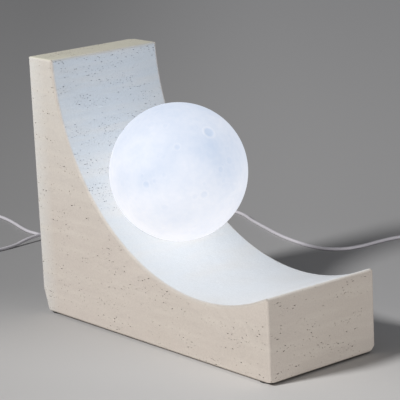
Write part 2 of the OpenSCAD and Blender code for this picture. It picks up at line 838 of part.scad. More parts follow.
module base_cover() {
    color([0.3, 0.3, 0.3])
        difference() {
            union() {
                translate([cavity_mid, 0, base_z + cover_inset])
                    linear_extrude(cover_t)
                        round_rect(cavity_l + cover_edge, cavity_w + cover_edge, cavity_r + 2 - cover_gap);
                for (x = [driver_hole, driver_l - driver_hole], y = [-1, 1])
                    translate([driver_x0 + x, y * (driver_w / 2 - driver_hole), cover_top_z - cut])
                        cylinder(h = driver_z - cover_top_z + cut, r = 2.8, $fn = 48);
                translate([clamp_x - clamp_l / 2, -clamp_w / 2, cover_top_z - cut])
                    cube([clamp_l, clamp_w, outlet_z - cover_top_z + cut]);
            }
            for (x = [driver_hole, driver_l - driver_hole], y = [-1, 1])
                translate([driver_x0 + x, y * (driver_w / 2 - driver_hole), driver_z - 5])
                    cylinder(h = 5 + cut, r = 1.1 + thread_gap, $fn = 32);
            translate([clamp_x - clamp_l, 0, outlet_z])
                along_x()
                    cylinder(h = 2 * clamp_l, r = cord_r + cord_slip, $fn = 32);
            for (y = [-1, 1])
                translate([clamp_x, y * clamp_screw_y, outlet_z - 8])
                    cylinder(h = 8 + cut, r = m3_r + thread_gap, $fn = 32);
            for (x = [-1, 1], y = [-1, 1])
                translate([cavity_mid + x * cover_screw_x, y * cover_screw_y, base_z + cover_inset]) {
                    translate([0, 0, -cut])
                        cylinder(h = cover_t + 2 * cut, r = m4_r + 0.3, $fn = 32);
                    translate([0, 0, -0.01])
                        cylinder(h = 2.01, r1 = m4_head_r + 0.2, r2 = m4_r + 0.3, $fn = 48);
                }
        }
}

module cover_screws() {
    color([0.6, 0.6, 0.62])
        for (x = [-1, 1], y = [-1, 1])
            translate([cavity_mid + x * cover_screw_x, y * cover_screw_y, base_z + cover_inset])
                difference() {
                    union() {
                        cylinder(h = 2, r1 = m4_head_r, r2 = m4_r, $fn = 48);
                        cylinder(h = cover_t + insert_l, r = m4_r, $fn = 48);
                    }
                    cube([4.4, 0.9, 1.6], center = true);
                    cube([0.9, 4.4, 1.6], center = true);
                }
}

module foot_pads() {
    color([0.25, 0.25, 0.27])
        for (x = [-1, 1], y = [-1, 1])
            translate([x * pad_x, y * pad_y, 0]) {
                cylinder(h = pad_t, r = pad_d / 2 - 0.4);
                translate([0, 0, 0.4])
                    cylinder(h = pad_t - 0.4, r = pad_d / 2);
            }
}

module globe_shell() {
    color([0.95, 0.97, 1])
        on_seat_axis()
            difference() {
                translate([0, 0, globe_c])
                    sphere(globe_r, $fn = 160);
                translate([0, 0, globe_c])
                    sphere(globe_r - globe_wall, $fn = 160);
                translate([0, 0, globe_c - globe_r - cut])
                    cylinder(h = globe_r, r = hole_r);
            }
}

// Neck with a flange that carries the globe and three snap fingers inside it
module globe_neck() {
    inner_z = globe_c - sqrt(pow(globe_r - globe_wall, 2) - pow(hole_r + 1.4, 2));
    hook_z = inner_z + 0.15;
    hook_h = 1.8;
    slot_w = 2;
    color([0.9, 0.9, 0.9])
        on_seat_axis()
            difference() {
                union() {
                    translate([0, 0, neck_low_z])
                        cylinder(h = hook_z + hook_h - neck_low_z, r = neck_r);
                    difference() {
                        translate([0, 0, neck_flange_z])
                            cylinder(h = neck_flange_t + 1.2, r = hole_r + neck_flange_w);
                        translate([0, 0, globe_c])
                            sphere(globe_r + 0.02, $fn = 160);
                    }
                    intersection() {
                        translate([0, 0, hook_z])
                            cylinder(h = hook_h, r1 = hole_r + 1.4, r2 = hole_r - 0.4);
                        ring_of(3, 0)
                            translate([0, -9, hook_z - cut])
                                cube([2 * hole_r, 18, hook_h + 2 * cut]);
                    }
                }
                translate([0, 0, neck_low_z - cut])
                    cylinder(h = hook_z + hook_h - neck_low_z + 2 * cut, r = neck_r - neck_wall);
                for (turn = [-24, 24])
                    ring_of(3, 0, turn)
                        translate([neck_r - neck_wall - cut, -slot_w / 2, neck_flange_z + 1])
                            cube([neck_wall + cut + 0.1, slot_w, 20]);
            }
}

module lamp_cord() {
    color([0.95, 0.95, 0.96])
        tube(lamp_route, cord_r, 8, [-1, 0, 0], [0, -1, 0]);
}

// Outline of half the switch's case across its width
module switch_section(w, z0, z1, r) {
    translate([0, (z0 + z1) / 2])
        round_rect(w, z1 - z0, r);
}

// Long case with round ends
module pill(l, w, z0, z1, r) {
    rotate([90, 0, 90])
        linear_extrude(l - w, center = true)
            switch_section(w, z0, z1, r);
    for (x = [-1, 1])
        translate([x * (l - w) / 2, 0, 0])
            rotate_extrude()
                intersection() {
                    switch_section(w, z0, z1, r);
                    translate([0, z0 - cut])
                        square([w, z1 - z0 + 2 * cut]);
                }
}

module on_switch() {
    translate(switch_at)
        rotate([0, 0, 90])
            children();
}

module switch_shell() {
    difference() {
        union() {
            pill(switch_l, switch_w, 0, switch_h, switch_round);
            for (x = [-1, 1])
                translate([x * (switch_l / 2 - 2), 0, switch_axis_z])
                    rotate([0, x * 90, 0])
                        cylinder(h = snout_l + 2, r = snout_r);
        }
        pill(switch_l - 2 * switch_wall, switch_w - 2 * switch_wall, switch_wall, switch_h - switch_wall,
            switch_round - 1);
        translate([-switch_l, 0, switch_axis_z])
            along_x()
                cylinder(h = 2 * switch_l, r = cord_r + 0.2, $fn = 48);
    }
}

module switch_lower_case() {
    color([0.95, 0.95, 0.95])
        on_switch()
            difference() {
                union() {
                    intersection() {
                        switch_shell();
                        translate([-switch_l, -switch_w, -cut])
                            cube([2 * switch_l, 2 * switch_w, switch_split + cut]);
                    }
                    for (x = [-1, 1])
                        translate([x * switch_screw_x, 0, switch_wall / 2])
                            intersection() {
                                cylinder(h = switch_split - cord_d - 0.2, r = 3.4, $fn = 48);
                                translate([-4, -4, 0])
                                    cube([8, 8, 8]);
                            }
                }
                for (x = [-1, 1])
                    translate([x * switch_screw_x, 0, -cut]) {
                        cylinder(h = switch_split, r = 1.3, $fn = 32);
                        cylinder(h = cut + 1.2, r = 2.3, $fn = 32);
                    }
            }
}

module switch_upper_case() {
    color([0.95, 0.95, 0.95])
        on_switch()
            difference() {
                union() {
                    intersection() {
                        switch_shell();
                        translate([-switch_l, -switch_w, switch_split])
                            cube([2 * switch_l, 2 * switch_w, switch_h]);
                    }
                    for (y = [-1, 1])
                        translate([-3, y * cheek_y - cheek_t / 2, rocker_pivot_z - 3])
                            cube([6, cheek_t, switch_h - rocker_pivot_z + 3 - switch_wall / 2]);
                    for (x = [-1, 1])
                        translate([x * switch_screw_x, 0, switch_axis_z + cord_r + 0.3])
                            cylinder(h = switch_h / 2 - cord_r - switch_wall / 2, r = 2.8, $fn = 48);
                }
                translate([-window_l / 2, -window_w / 2, switch_h - switch_wall - cut])
                    cube([window_l, window_w, switch_wall + 2 * cut]);
                translate([0, 0, rocker_pivot_z])
                    rotate([90, 0, 0])
                        cylinder(h = pin_l + 3, r = rocker_pin_r + seat_gap, center = true, $fn = 32);
                for (x = [-1, 1])
                    translate([x * switch_screw_x, 0, switch_split])
                        cylinder(h = switch_h - switch_split - switch_wall, r = 1, $fn = 32);
            }
}

module switch_screws() {
    color([0.7, 0.7, 0.72])
        on_switch()
            for (x = [-1, 1])
                translate([x * switch_screw_x, 0, 1.2])
                    mirror([0, 0, 1])
                        pan_screw(0.9, 2, 1, switch_h - switch_wall - 2.2);
}

// Two brass contacts on the floor of the switch
module switch_contacts() {
    color([0.8, 0.65, 0.35])
        on_switch()
            for (x = [-1, 1]) {
                translate([x > 0 ? 3 : -11, -2.5, switch_wall])
                    cube([8, 5, 0.8]);
                translate([x > 0 ? 3 : -3.8, -2.5, switch_wall])
                    cube([0.8, 5, 3]);
            }
}

module switch_cord_ends() {
    color([0.93, 0.93, 0.93])
        on_switch()
            for (x = [-1, 1])
                translate([x * (switch_l / 2 + snout_l), 0, switch_axis_z])
                    rotate([0, -x * 90, 0])
                        cylinder(h = snout_l + 3.5, r = cord_r, $fn = 32);
}

// Rocker with a hollowed top, pressed down at its on side
module switch_rocker() {
    color([0.97, 0.97, 0.97])
        on_switch()
            translate([0, 0, rocker_pivot_z])
                rotate([0, rocker_tilt, 0]) {
                    along_y(rocker_w)
                        polygon([[-rocker_half, -0.4], [-3, -1.6], [3, -1.6], [rocker_half, -0.4],
                            [rocker_half, 2.8], [rocker_half - 0.6, 3.4], [rocker_half - 2, 3.3], [0, 2.5],
                            [2 - rocker_half, 3.3], [0.6 - rocker_half, 3.4], [-rocker_half, 2.8]]);
                    rotate([90, 0, 0])
                        cylinder(h = pin_l, r = rocker_pin_r, center = true, $fn = 32);
                }
}

module plug_cord() {
    color([0.95, 0.95, 0.96])
        tube(plug_route, cord_r, 8, [0, -1, 0], [1, 0, 0]);
}

module cord_coil() {
    turns = [for (k = [0 : coil_turns * coil_turn_rings]) coil_point(k / coil_turn_rings)];
    last = len(turns) - 1;
    line = concat([turns[0] - [cord_d, 0, 0]], turns, [turns[last] - [0, cord_d, 0]]);
    apart = min([for (i = [0 : last], j = [i + 12 : 1 : last]) norm(turns[i] - turns[j])]);
    echo(least_gap_between_turns = apart - cord_d);
    color([0.95, 0.95, 0.96])
        tube(line, cord_r, 6, [1, 0, 0], [0, -1, 0]);
}

module coil_tie() {
    wide = coil_step + cord_d + 2 * tie_slack + 2 * tie_t;
    color([0.2, 0.2, 0.2])
        translate([coil_c[0], coil_c[1], coil_c[2] + coil_step / 2])
            rotate([0, 0, 90 - 360 * tie_turn])
                translate([(coil_r(tie_turn) + coil_r(tie_turn + 1)) / 2, 0, 0])
                    along_y(tie_w)
                        difference() {
                            round_rect(wide, wide, cord_r + tie_t);
                            round_rect(wide - 2 * tie_t, wide - 2 * tie_t, cord_r);
                        }
}

module plug_tail() {
    color([0.95, 0.95, 0.96])
        tube(smooth(tail_route, 2), cord_r, 8, [0, -1, 0], [1, 0, 0]);
}

module on_plug() {
    translate(plug_at)
        children();
}

module plug_grip() {
    rib_n = 4;
    rib = plug_relief_l / (rib_n + 0.5);
    ribs = [for (i = [0 : rib_n - 1])
        let (x = i * rib + rib / 2, r = cord_r + 0.5 + 1.2 * x / plug_relief_l)
        each [[r, x], [r - 0.5, x + 0.2], [r - 0.5, x + rib / 2 - 0.2], [r + 0.1, x + rib / 2]]];
    color([0.95, 0.95, 0.96])
        on_plug()
            difference() {
                union() {
                    along_x()
                        rotate_extrude()
                            polygon(concat([[0, 0], [cord_r + 0.5, 0]], ribs,
                                [[cord_r + 1.7, plug_relief_l], [cord_r + 1.7, plug_relief_l + 1],
                                [0, plug_relief_l + 1]]));
                    translate([plug_relief_l + grip_l / 2, 0, 0])
                        intersection() {
                            rotate([90, 0, 90])
                                linear_extrude(grip_l, center = true)
                                    round_rect(grip_w, grip_h, 2);
                            translate([0, 0, -grip_h / 2])
                                linear_extrude(grip_h)
                                    round_rect(grip_l, grip_w, 2.5);
                        }
                }
                translate([plug_in_x - 0.1, -plug_shell_w / 2 - 0.1, -plug_shell_h / 2 - 0.1])
                    cube([plug_in_l + cut + 0.1, plug_shell_w + 0.2, plug_shell_h + 0.2]);
                for (k = [0 : 3], z = [-1, 1])
                    translate([plug_relief_l + 5 + 2.4 * k, 0, z * grip_h / 2])
                        cube([1.1, grip_w - 6, 0.8], center = true);
            }
}

module plug_shell() {
    color([0.8, 0.8, 0.82])
        on_plug()
            translate([plug_in_x, 0, 0])
                difference() {
                    rotate([90, 0, 90])
                        linear_extrude(plug_in_l + plug_out_l)
                            difference() {
                                round_rect(plug_shell_w, plug_shell_h, 0.5);
                                round_rect(plug_shell_w - 2 * plug_shell_t, plug_mouth_h, 0.2);
                            }
                    for (y = [-1, 1])
                        translate([plug_in_l + 5.2, y * 2.9, 0])
                            cube([2.2, 2.2, 2 * plug_shell_h], center = true);
                }
}

module plug_tongue() {
    color([0.1, 0.1, 0.1])
        on_plug()
            translate([plug_in_x, -plug_shell_w / 2 + 0.5, -plug_mouth_h / 2]) {
                cube([plug_in_l + plug_out_l - 0.6, plug_shell_w - 1, plug_tongue_h]);
                cube([plug_in_l - 1, plug_shell_w - 1, plug_mouth_h]);
            }
}

module plug_contacts() {
    color([0.85, 0.68, 0.3])
        on_plug()
            for (k = [-1.5 : 1 : 1.5])
                translate([plug_relief_l + grip_l, 2.3 * k - 0.5, plug_tongue_h - plug_mouth_h / 2])
                    cube([abs(k) > 1 ? plug_out_l - 2 : plug_out_l - 3.4, 1, 0.25]);
}

stone_body();
threaded_inserts();
seat_cup();
seat_screws();
seat_gasket();
neck_clips();
heat_sink();
sink_screws();
light_board();
light_chips();
board_screws();
light_dome();
wire_grommet();
light_leads();
driver_board();
driver_parts();
driver_screws();
terminal_blocks();
terminal_screws();
cord_cores();
cord_inner_end();
cord_clamp();
clamp_screws();
cord_bush();
base_cover();
cover_screws();
foot_pads();
globe_shell();
globe_neck();
lamp_cord();
switch_lower_case();
switch_upper_case();
switch_screws();
switch_contacts();
switch_cord_ends();
switch_rocker();
plug_cord();
cord_coil();
coil_tie();
plug_tail();
plug_grip();
plug_shell();
plug_tongue();
plug_contacts();
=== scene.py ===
"""Globe table lamp: a lit globe in the slide of a pitted cast stone body, on a thin white lead."""
import logging
import math
from collections.abc import Sequence
from dataclasses import dataclass
from enum import Enum
from functools import cache

import bmesh
import bpy
import numpy as np
from mathutils import Matrix, Vector


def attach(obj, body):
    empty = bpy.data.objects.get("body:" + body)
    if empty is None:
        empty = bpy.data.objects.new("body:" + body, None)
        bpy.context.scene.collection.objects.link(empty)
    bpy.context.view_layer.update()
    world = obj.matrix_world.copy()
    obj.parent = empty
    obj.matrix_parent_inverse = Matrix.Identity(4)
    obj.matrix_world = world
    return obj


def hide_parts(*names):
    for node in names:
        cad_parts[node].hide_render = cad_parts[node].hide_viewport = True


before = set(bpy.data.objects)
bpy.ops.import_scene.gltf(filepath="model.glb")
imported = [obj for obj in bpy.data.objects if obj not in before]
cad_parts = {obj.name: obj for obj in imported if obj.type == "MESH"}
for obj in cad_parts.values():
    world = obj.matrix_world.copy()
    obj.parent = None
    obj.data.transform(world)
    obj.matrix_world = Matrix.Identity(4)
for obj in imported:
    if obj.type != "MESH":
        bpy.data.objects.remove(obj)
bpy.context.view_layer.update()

LOG = logging.getLogger("globe_lamp")
MM = 0.001
RANGE, NOISE, MATH = "ShaderNodeMapRange", "ShaderNodeTexNoise", "ShaderNodeMath"
VECTORS, XYZ, CHANCE = "ShaderNodeVectorMath", "ShaderNodeCombineXYZ", "FunctionNodeRandomValue"
MIX, COLOURS = "ShaderNodeMix", {"data_type": "RGBA"}
Place = tuple[float, float, float]
Object, Mesh, Material = bpy.types.Object, bpy.types.Mesh, bpy.types.Material
Tree, Node, Socket = bpy.types.NodeTree, bpy.types.Node, bpy.types.NodeSocket
Setting = float | int | str | bool | tuple | Node | Socket | Material


def linear(colour: str) -> tuple[float, float, float, float]:
    """Turns an sRGB hex colour into linear light.

    Args:
        colour: Six hex digits after a hash sign.

    Returns:
        Red, green, blue and an alpha of one.
    """
    parts = [int(colour[i : i + 2], 16) / 255 for i in (1, 3, 5)]
    red, green, blue = [
        c / 12.92 if c <= 0.04045 else ((c + 0.055) / 1.055) ** 2.4 for c in parts
    ]
    return red, green, blue, 1.0


def feed(node: Node, sockets: dict[str | int, Setting]) -> None:
    """Sets or links some inputs of a node.

    Args:
        node: The node.
        sockets: Its inputs by name or index, each a value, or an output or a node to link from. A
            node stands for the first of its outputs that is in use.
    """
    for key, value in sockets.items():
        if isinstance(value, Node):
            value = next(out for out in value.outputs if out.enabled)
        if isinstance(value, Socket):
            node.id_data.links.new(value, node.inputs[key])
        else:
            node.inputs[key].default_value = value


def add_node(
    tree: Tree,
    kind: str,
    sockets: dict[str | int, Setting] | None = None,
    **settings: float | int | str | bool,
) -> Node:
    """Adds one node to a tree.

    Args:
        tree: The shader or geometry tree.
        kind: The node's type name.
        sockets: Its inputs, as feed takes them.
        settings: Its properties by name.

    Returns:
        The new node.
    """
    made = tree.nodes.new(kind)
    for key, value in settings.items():
        setattr(made, key, value)
    feed(made, sockets or {})
    return made


def sized(spot: Node | Socket, size_mm: float, **others: float) -> dict[str | int, Setting]:
    """Gives the inputs of a pattern whose features have a real size.

    Args:
        spot: The place that the pattern reads, in metres.
        size_mm: The size of its features, in millimetres.
        others: Its other inputs by name.

    Returns:
        The inputs by name.
    """
    return {"Vector": spot, "Scale": 1000.0 / size_mm, **others}


def new_material(name: str) -> Material:
    """Makes a material whose node tree is empty.

    Args:
        name: Its name.

    Returns:
        The material.
    """
    material = bpy.data.materials.new(name)
    material.use_nodes = True
    material.node_tree.nodes.clear()
    return material


def new_object(name: str, data: bpy.types.ID) -> Object:
    """Links data to the scene as an object at the origin.

    Args:
        name: The object's name.
        data: Its mesh, curve, lamp or camera.

    Returns:
        The object.
    """
    made = bpy.data.objects.new(name, data)
    bpy.context.scene.collection.objects.link(made)
    return made


def smooth_below(mesh: Mesh, degrees: float) -> None:
    """Shades a mesh smooth, apart from edges that turn by more than an angle.

    Args:
        mesh: The mesh to shade.
        degrees: The angle between two faces from which their edge is sharp.
    """
    work = bmesh.new()
    work.from_mesh(mesh)
    limit = math.radians(degrees)
    for face in work.faces:
        face.smooth = True
    for edge in work.edges:
        edge.smooth = len(edge.link_faces) == 2 and edge.calc_face_angle() < limit
    work.to_mesh(mesh)
    work.free()


def as_plain_mesh(source: Object, name: str) -> Object:
    """Bakes an object's modifiers into a new plain object and removes the old one.

    Args:
        source: The object with modifiers.
        name: The new object's name.

    Returns:
        The plain object.
    """
    graph = bpy.context.evaluated_depsgraph_get()
    mesh = bpy.data.meshes.new_from_object(source.evaluated_get(graph), depsgraph=graph)
    mesh.name = name
    bpy.data.objects.remove(source)
    return new_object(name, mesh)


# Finishes, each named for its real material


@dataclass(frozen=True)
class Finish:
    """What every surface has: a name, two close colours that drift into each other, and a gloss.

    Attributes:
        name: The real material.
        colour: Its main colour.
        drift: The colour that it drifts to.
        drift_mm: The size of the drifting patches.
        roughness: How matt it is.
        ior: Its index of refraction.
        depth_mm: The distance between the lowest and highest points of its fine relief.
    """

    name: str
    colour: str
    drift: str
    drift_mm: float = 14.0
    roughness: float = 0.5
    ior: float = 1.5
    depth_mm: float = 0.03

    def start(self) -> tuple[Material, Node, Socket]:
        """Makes the material with its drifting colour.

        Returns:
            The material, its surface shader and its Object coordinates.
        """
        material = new_material(self.name)
        tree = material.node_tree
        spot = add_node(tree, "ShaderNodeTexCoord").outputs["Object"]
        cloud = add_node(tree, NOISE, sized(spot, self.drift_mm, Detail=3.0))
        colour = add_node(tree, MIX, {
            0: cloud, 6: linear(self.colour), 7: linear(self.drift)}, **COLOURS)
        shader = add_node(tree, "ShaderNodeBsdfPrincipled", {
            "Base Color": colour, "Roughness": self.roughness, "IOR": self.ior})
        add_node(tree, "ShaderNodeOutputMaterial", {"Surface": shader})
        return material, shader, spot

    def vary_gloss(self, shader: Node, pattern: Node, less: float = 0.08, more: float = 0.08) -> None:
        """Lets the gloss follow a pattern.

        Args:
            shader: The surface shader.
            pattern: The pattern, from nought to one.
            less: How far the roughness falls at its lowest.
            more: How far it rises at its highest.
        """
        gloss = add_node(shader.id_data, RANGE, {
            "Value": pattern, "To Min": self.roughness - less, "To Max": self.roughness + more})
        feed(shader, {"Roughness": gloss})

    def relief(self, shader: Node, height: Node) -> None:
        """Gives a surface shader fine relief.

        Args:
            shader: The surface shader.
            height: The relief's height, from nought to one.
        """
        bump = add_node(shader.id_data, "ShaderNodeBump", {
            "Height": height, "Distance": self.depth_mm * MM, "Strength": 1.0})
        feed(shader, {"Normal": bump})


@dataclass(frozen=True)
class Moulded(Finish):
    """A moulded plastic or rubber. The tool's spark-eroded grain breaks up its highlights.

    Attributes:
        grain_mm: The size of the grain, drawn coarser than the tool leaves it so that it shows.
        sheen: The soft edge light that rubber has.
    """

    grain_mm: float = 0.5
    depth_mm: float = 0.02
    sheen: float = 0.0

    def make(self) -> Material:
        """Builds the material.

        Returns:
            The finished material.
        """
        material, shader, spot = self.start()
        grain = add_node(material.node_tree, NOISE, sized(spot, self.grain_mm, Detail=2.0))
        self.vary_gloss(shader, grain, less=0.06, more=0.06)
        feed(shader, {"Sheen Weight": self.sheen})
        self.relief(shader, grain)
        return material


@dataclass(frozen=True)
class Jacket(Finish):
    """An extruded lead jacket. Faint waves and a few handling marks show in its soft gloss.

    Attributes:
        wave_mm: The length of the waves that the extruder leaves.
        mark_mm: The size of the handling marks.
        mark_share: The height of a mark as a share of a wave's.
    """

    wave_mm: float = 5.0
    mark_mm: float = 1.2
    mark_share: float = 0.3

    def make(self) -> Material:
        """Builds the material.

        Returns:
            The finished material.
        """
        material, shader, spot = self.start()
        tree = material.node_tree
        wave = add_node(tree, NOISE, sized(spot, self.wave_mm, Detail=1.0))
        mark = add_node(tree, NOISE, sized(spot, self.mark_mm, Detail=4.0))
        both = add_node(tree, MATH, {0: mark, 1: self.mark_share, 2: wave}, operation="MULTIPLY_ADD")
        self.vary_gloss(shader, mark)
        self.relief(shader, both)
        return material


@dataclass(frozen=True)
class Metal(Finish):
    """A worked metal. Fine lines from the tool run one way, and the tint drifts a little.

    Attributes:
        line_mm: The spacing of the tool's lines, drawn wider than on real metal so that they show.
        run: How far the lines are drawn out along X, Y and Z.
    """

    line_mm: float = 0.4
    run: Place = (0.05, 1.0, 1.0)
    depth_mm: float = 0.01

    def make(self) -> Material:
        """Builds the material.

        Returns:
            The finished material.
        """
        material, shader, spot = self.start()
        tree = material.node_tree
        feed(shader, {"Metallic": 1.0})
        drawn = add_node(tree, "ShaderNodeMapping", {"Vector": spot, "Scale": self.run})
        lines = add_node(tree, NOISE, sized(drawn, self.line_mm, Detail=2.0))
        self.vary_gloss(shader, lines, more=0.1)
        self.relief(shader, lines)
        return material


@dataclass(frozen=True)
class Laminate(Finish):
    """A printed circuit board. Copper tracks stand as lighter lines under a glossy green mask.

    Attributes:
        track: The colour of the mask over copper.
        cell_mm: The spacing of the tracks.
        half_track: Half a track's width, as a share of their spacing.
    """

    track: str = "#2E7A4C"
    cell_mm: float = 4.0
    half_track: float = 0.12
    depth_mm: float = 0.05

    def make(self) -> Material:
        """Builds the material.

        Returns:
            The finished material.
        """
        material, shader, spot = self.start()
        tree = material.node_tree
        cells = add_node(tree, "ShaderNodeTexVoronoi", sized(spot, self.cell_mm, Randomness=0.35),
                         feature="DISTANCE_TO_EDGE", voronoi_dimensions="2D")
        track = add_node(tree, MATH, {0: cells, 1: self.half_track}, operation="LESS_THAN")
        base = shader.inputs["Base Color"].links[0].from_socket
        over = add_node(tree, MIX, {0: track, 6: base, 7: linear(self.track)}, **COLOURS)
        feed(shader, {"Base Color": over, "Coat Weight": 0.5, "Coat Roughness": 0.15})
        self.relief(shader, track)
        return material


@dataclass(frozen=True)
class Glowing(Finish):
    """A plastic or phosphor that gives light of its own, a little uneven like its filling.

    Attributes:
        glow: The colour of its light.
        strength: The strength of its light.
    """

    glow: str = "#FFFFFF"
    strength: float = 1.0

    def make(self) -> Material:
        """Builds the material.

        Returns:
            The finished material.
        """
        material, shader, spot = self.start()
        tree = material.node_tree
        haze = add_node(tree, NOISE, sized(spot, self.drift_mm, Detail=2.0))
        light = add_node(tree, MIX, {0: haze, 6: linear(self.glow), 7: linear(self.colour)}, **COLOURS)
        feed(shader, {"Emission Color": light, "Emission Strength": self.strength})
        return material


@dataclass(frozen=True)
class LitOpal(Finish):
    """The globe's opal plastic, lit from inside. Thick places are dimmer and bluer, thin ones white.

    Attributes:
        bright: The light of thin places.
        dim: The light of thick places.
        strength: The strength of its light.
        grain_mm: The size of the fine mottling.
        cloud_mm: The size of the slow clouds.
        grain_share: How much the mottling dims or brightens.
        cloud_share: How much the clouds do.
    """

    bright: str = "#F9F8FB"
    dim: str = "#BFCFE6"
    strength: float = 0.86
    grain_mm: float = 5.0
    cloud_mm: float = 34.0
    grain_share: float = 0.3
    cloud_share: float = 0.7
    depth_mm: float = 0.04

    def make(self) -> Material:
        """Builds the material.

        Returns:
            The finished material.
        """
        material, shader, spot = self.start()
        tree = material.node_tree
        wall = add_node(tree, "ShaderNodeAttribute", attribute_name="wall")
        grain = add_node(tree, NOISE, sized(spot, self.grain_mm, Detail=4.0, Roughness=0.6))
        cloud = add_node(tree, NOISE, sized(spot, self.cloud_mm, Detail=3.0))
        fine, wide = (
            add_node(tree, MATH, {0: pattern, 1: share, 2: -share / 2}, operation="MULTIPLY_ADD")
            for pattern, share in ((grain, self.grain_share), (cloud, self.cloud_share)))
        both = add_node(tree, MATH, {0: fine, 1: wide}, operation="ADD")
        thick = add_node(tree, MATH, {0: both, 1: wall.outputs["Fac"]}, operation="ADD", use_clamp=True)
        light = add_node(tree, MIX, {0: thick, 6: linear(self.bright), 7: linear(self.dim)}, **COLOURS)
        feed(shader, {"Emission Color": light, "Emission Strength": self.strength})
        self.relief(shader, grain)
        return material


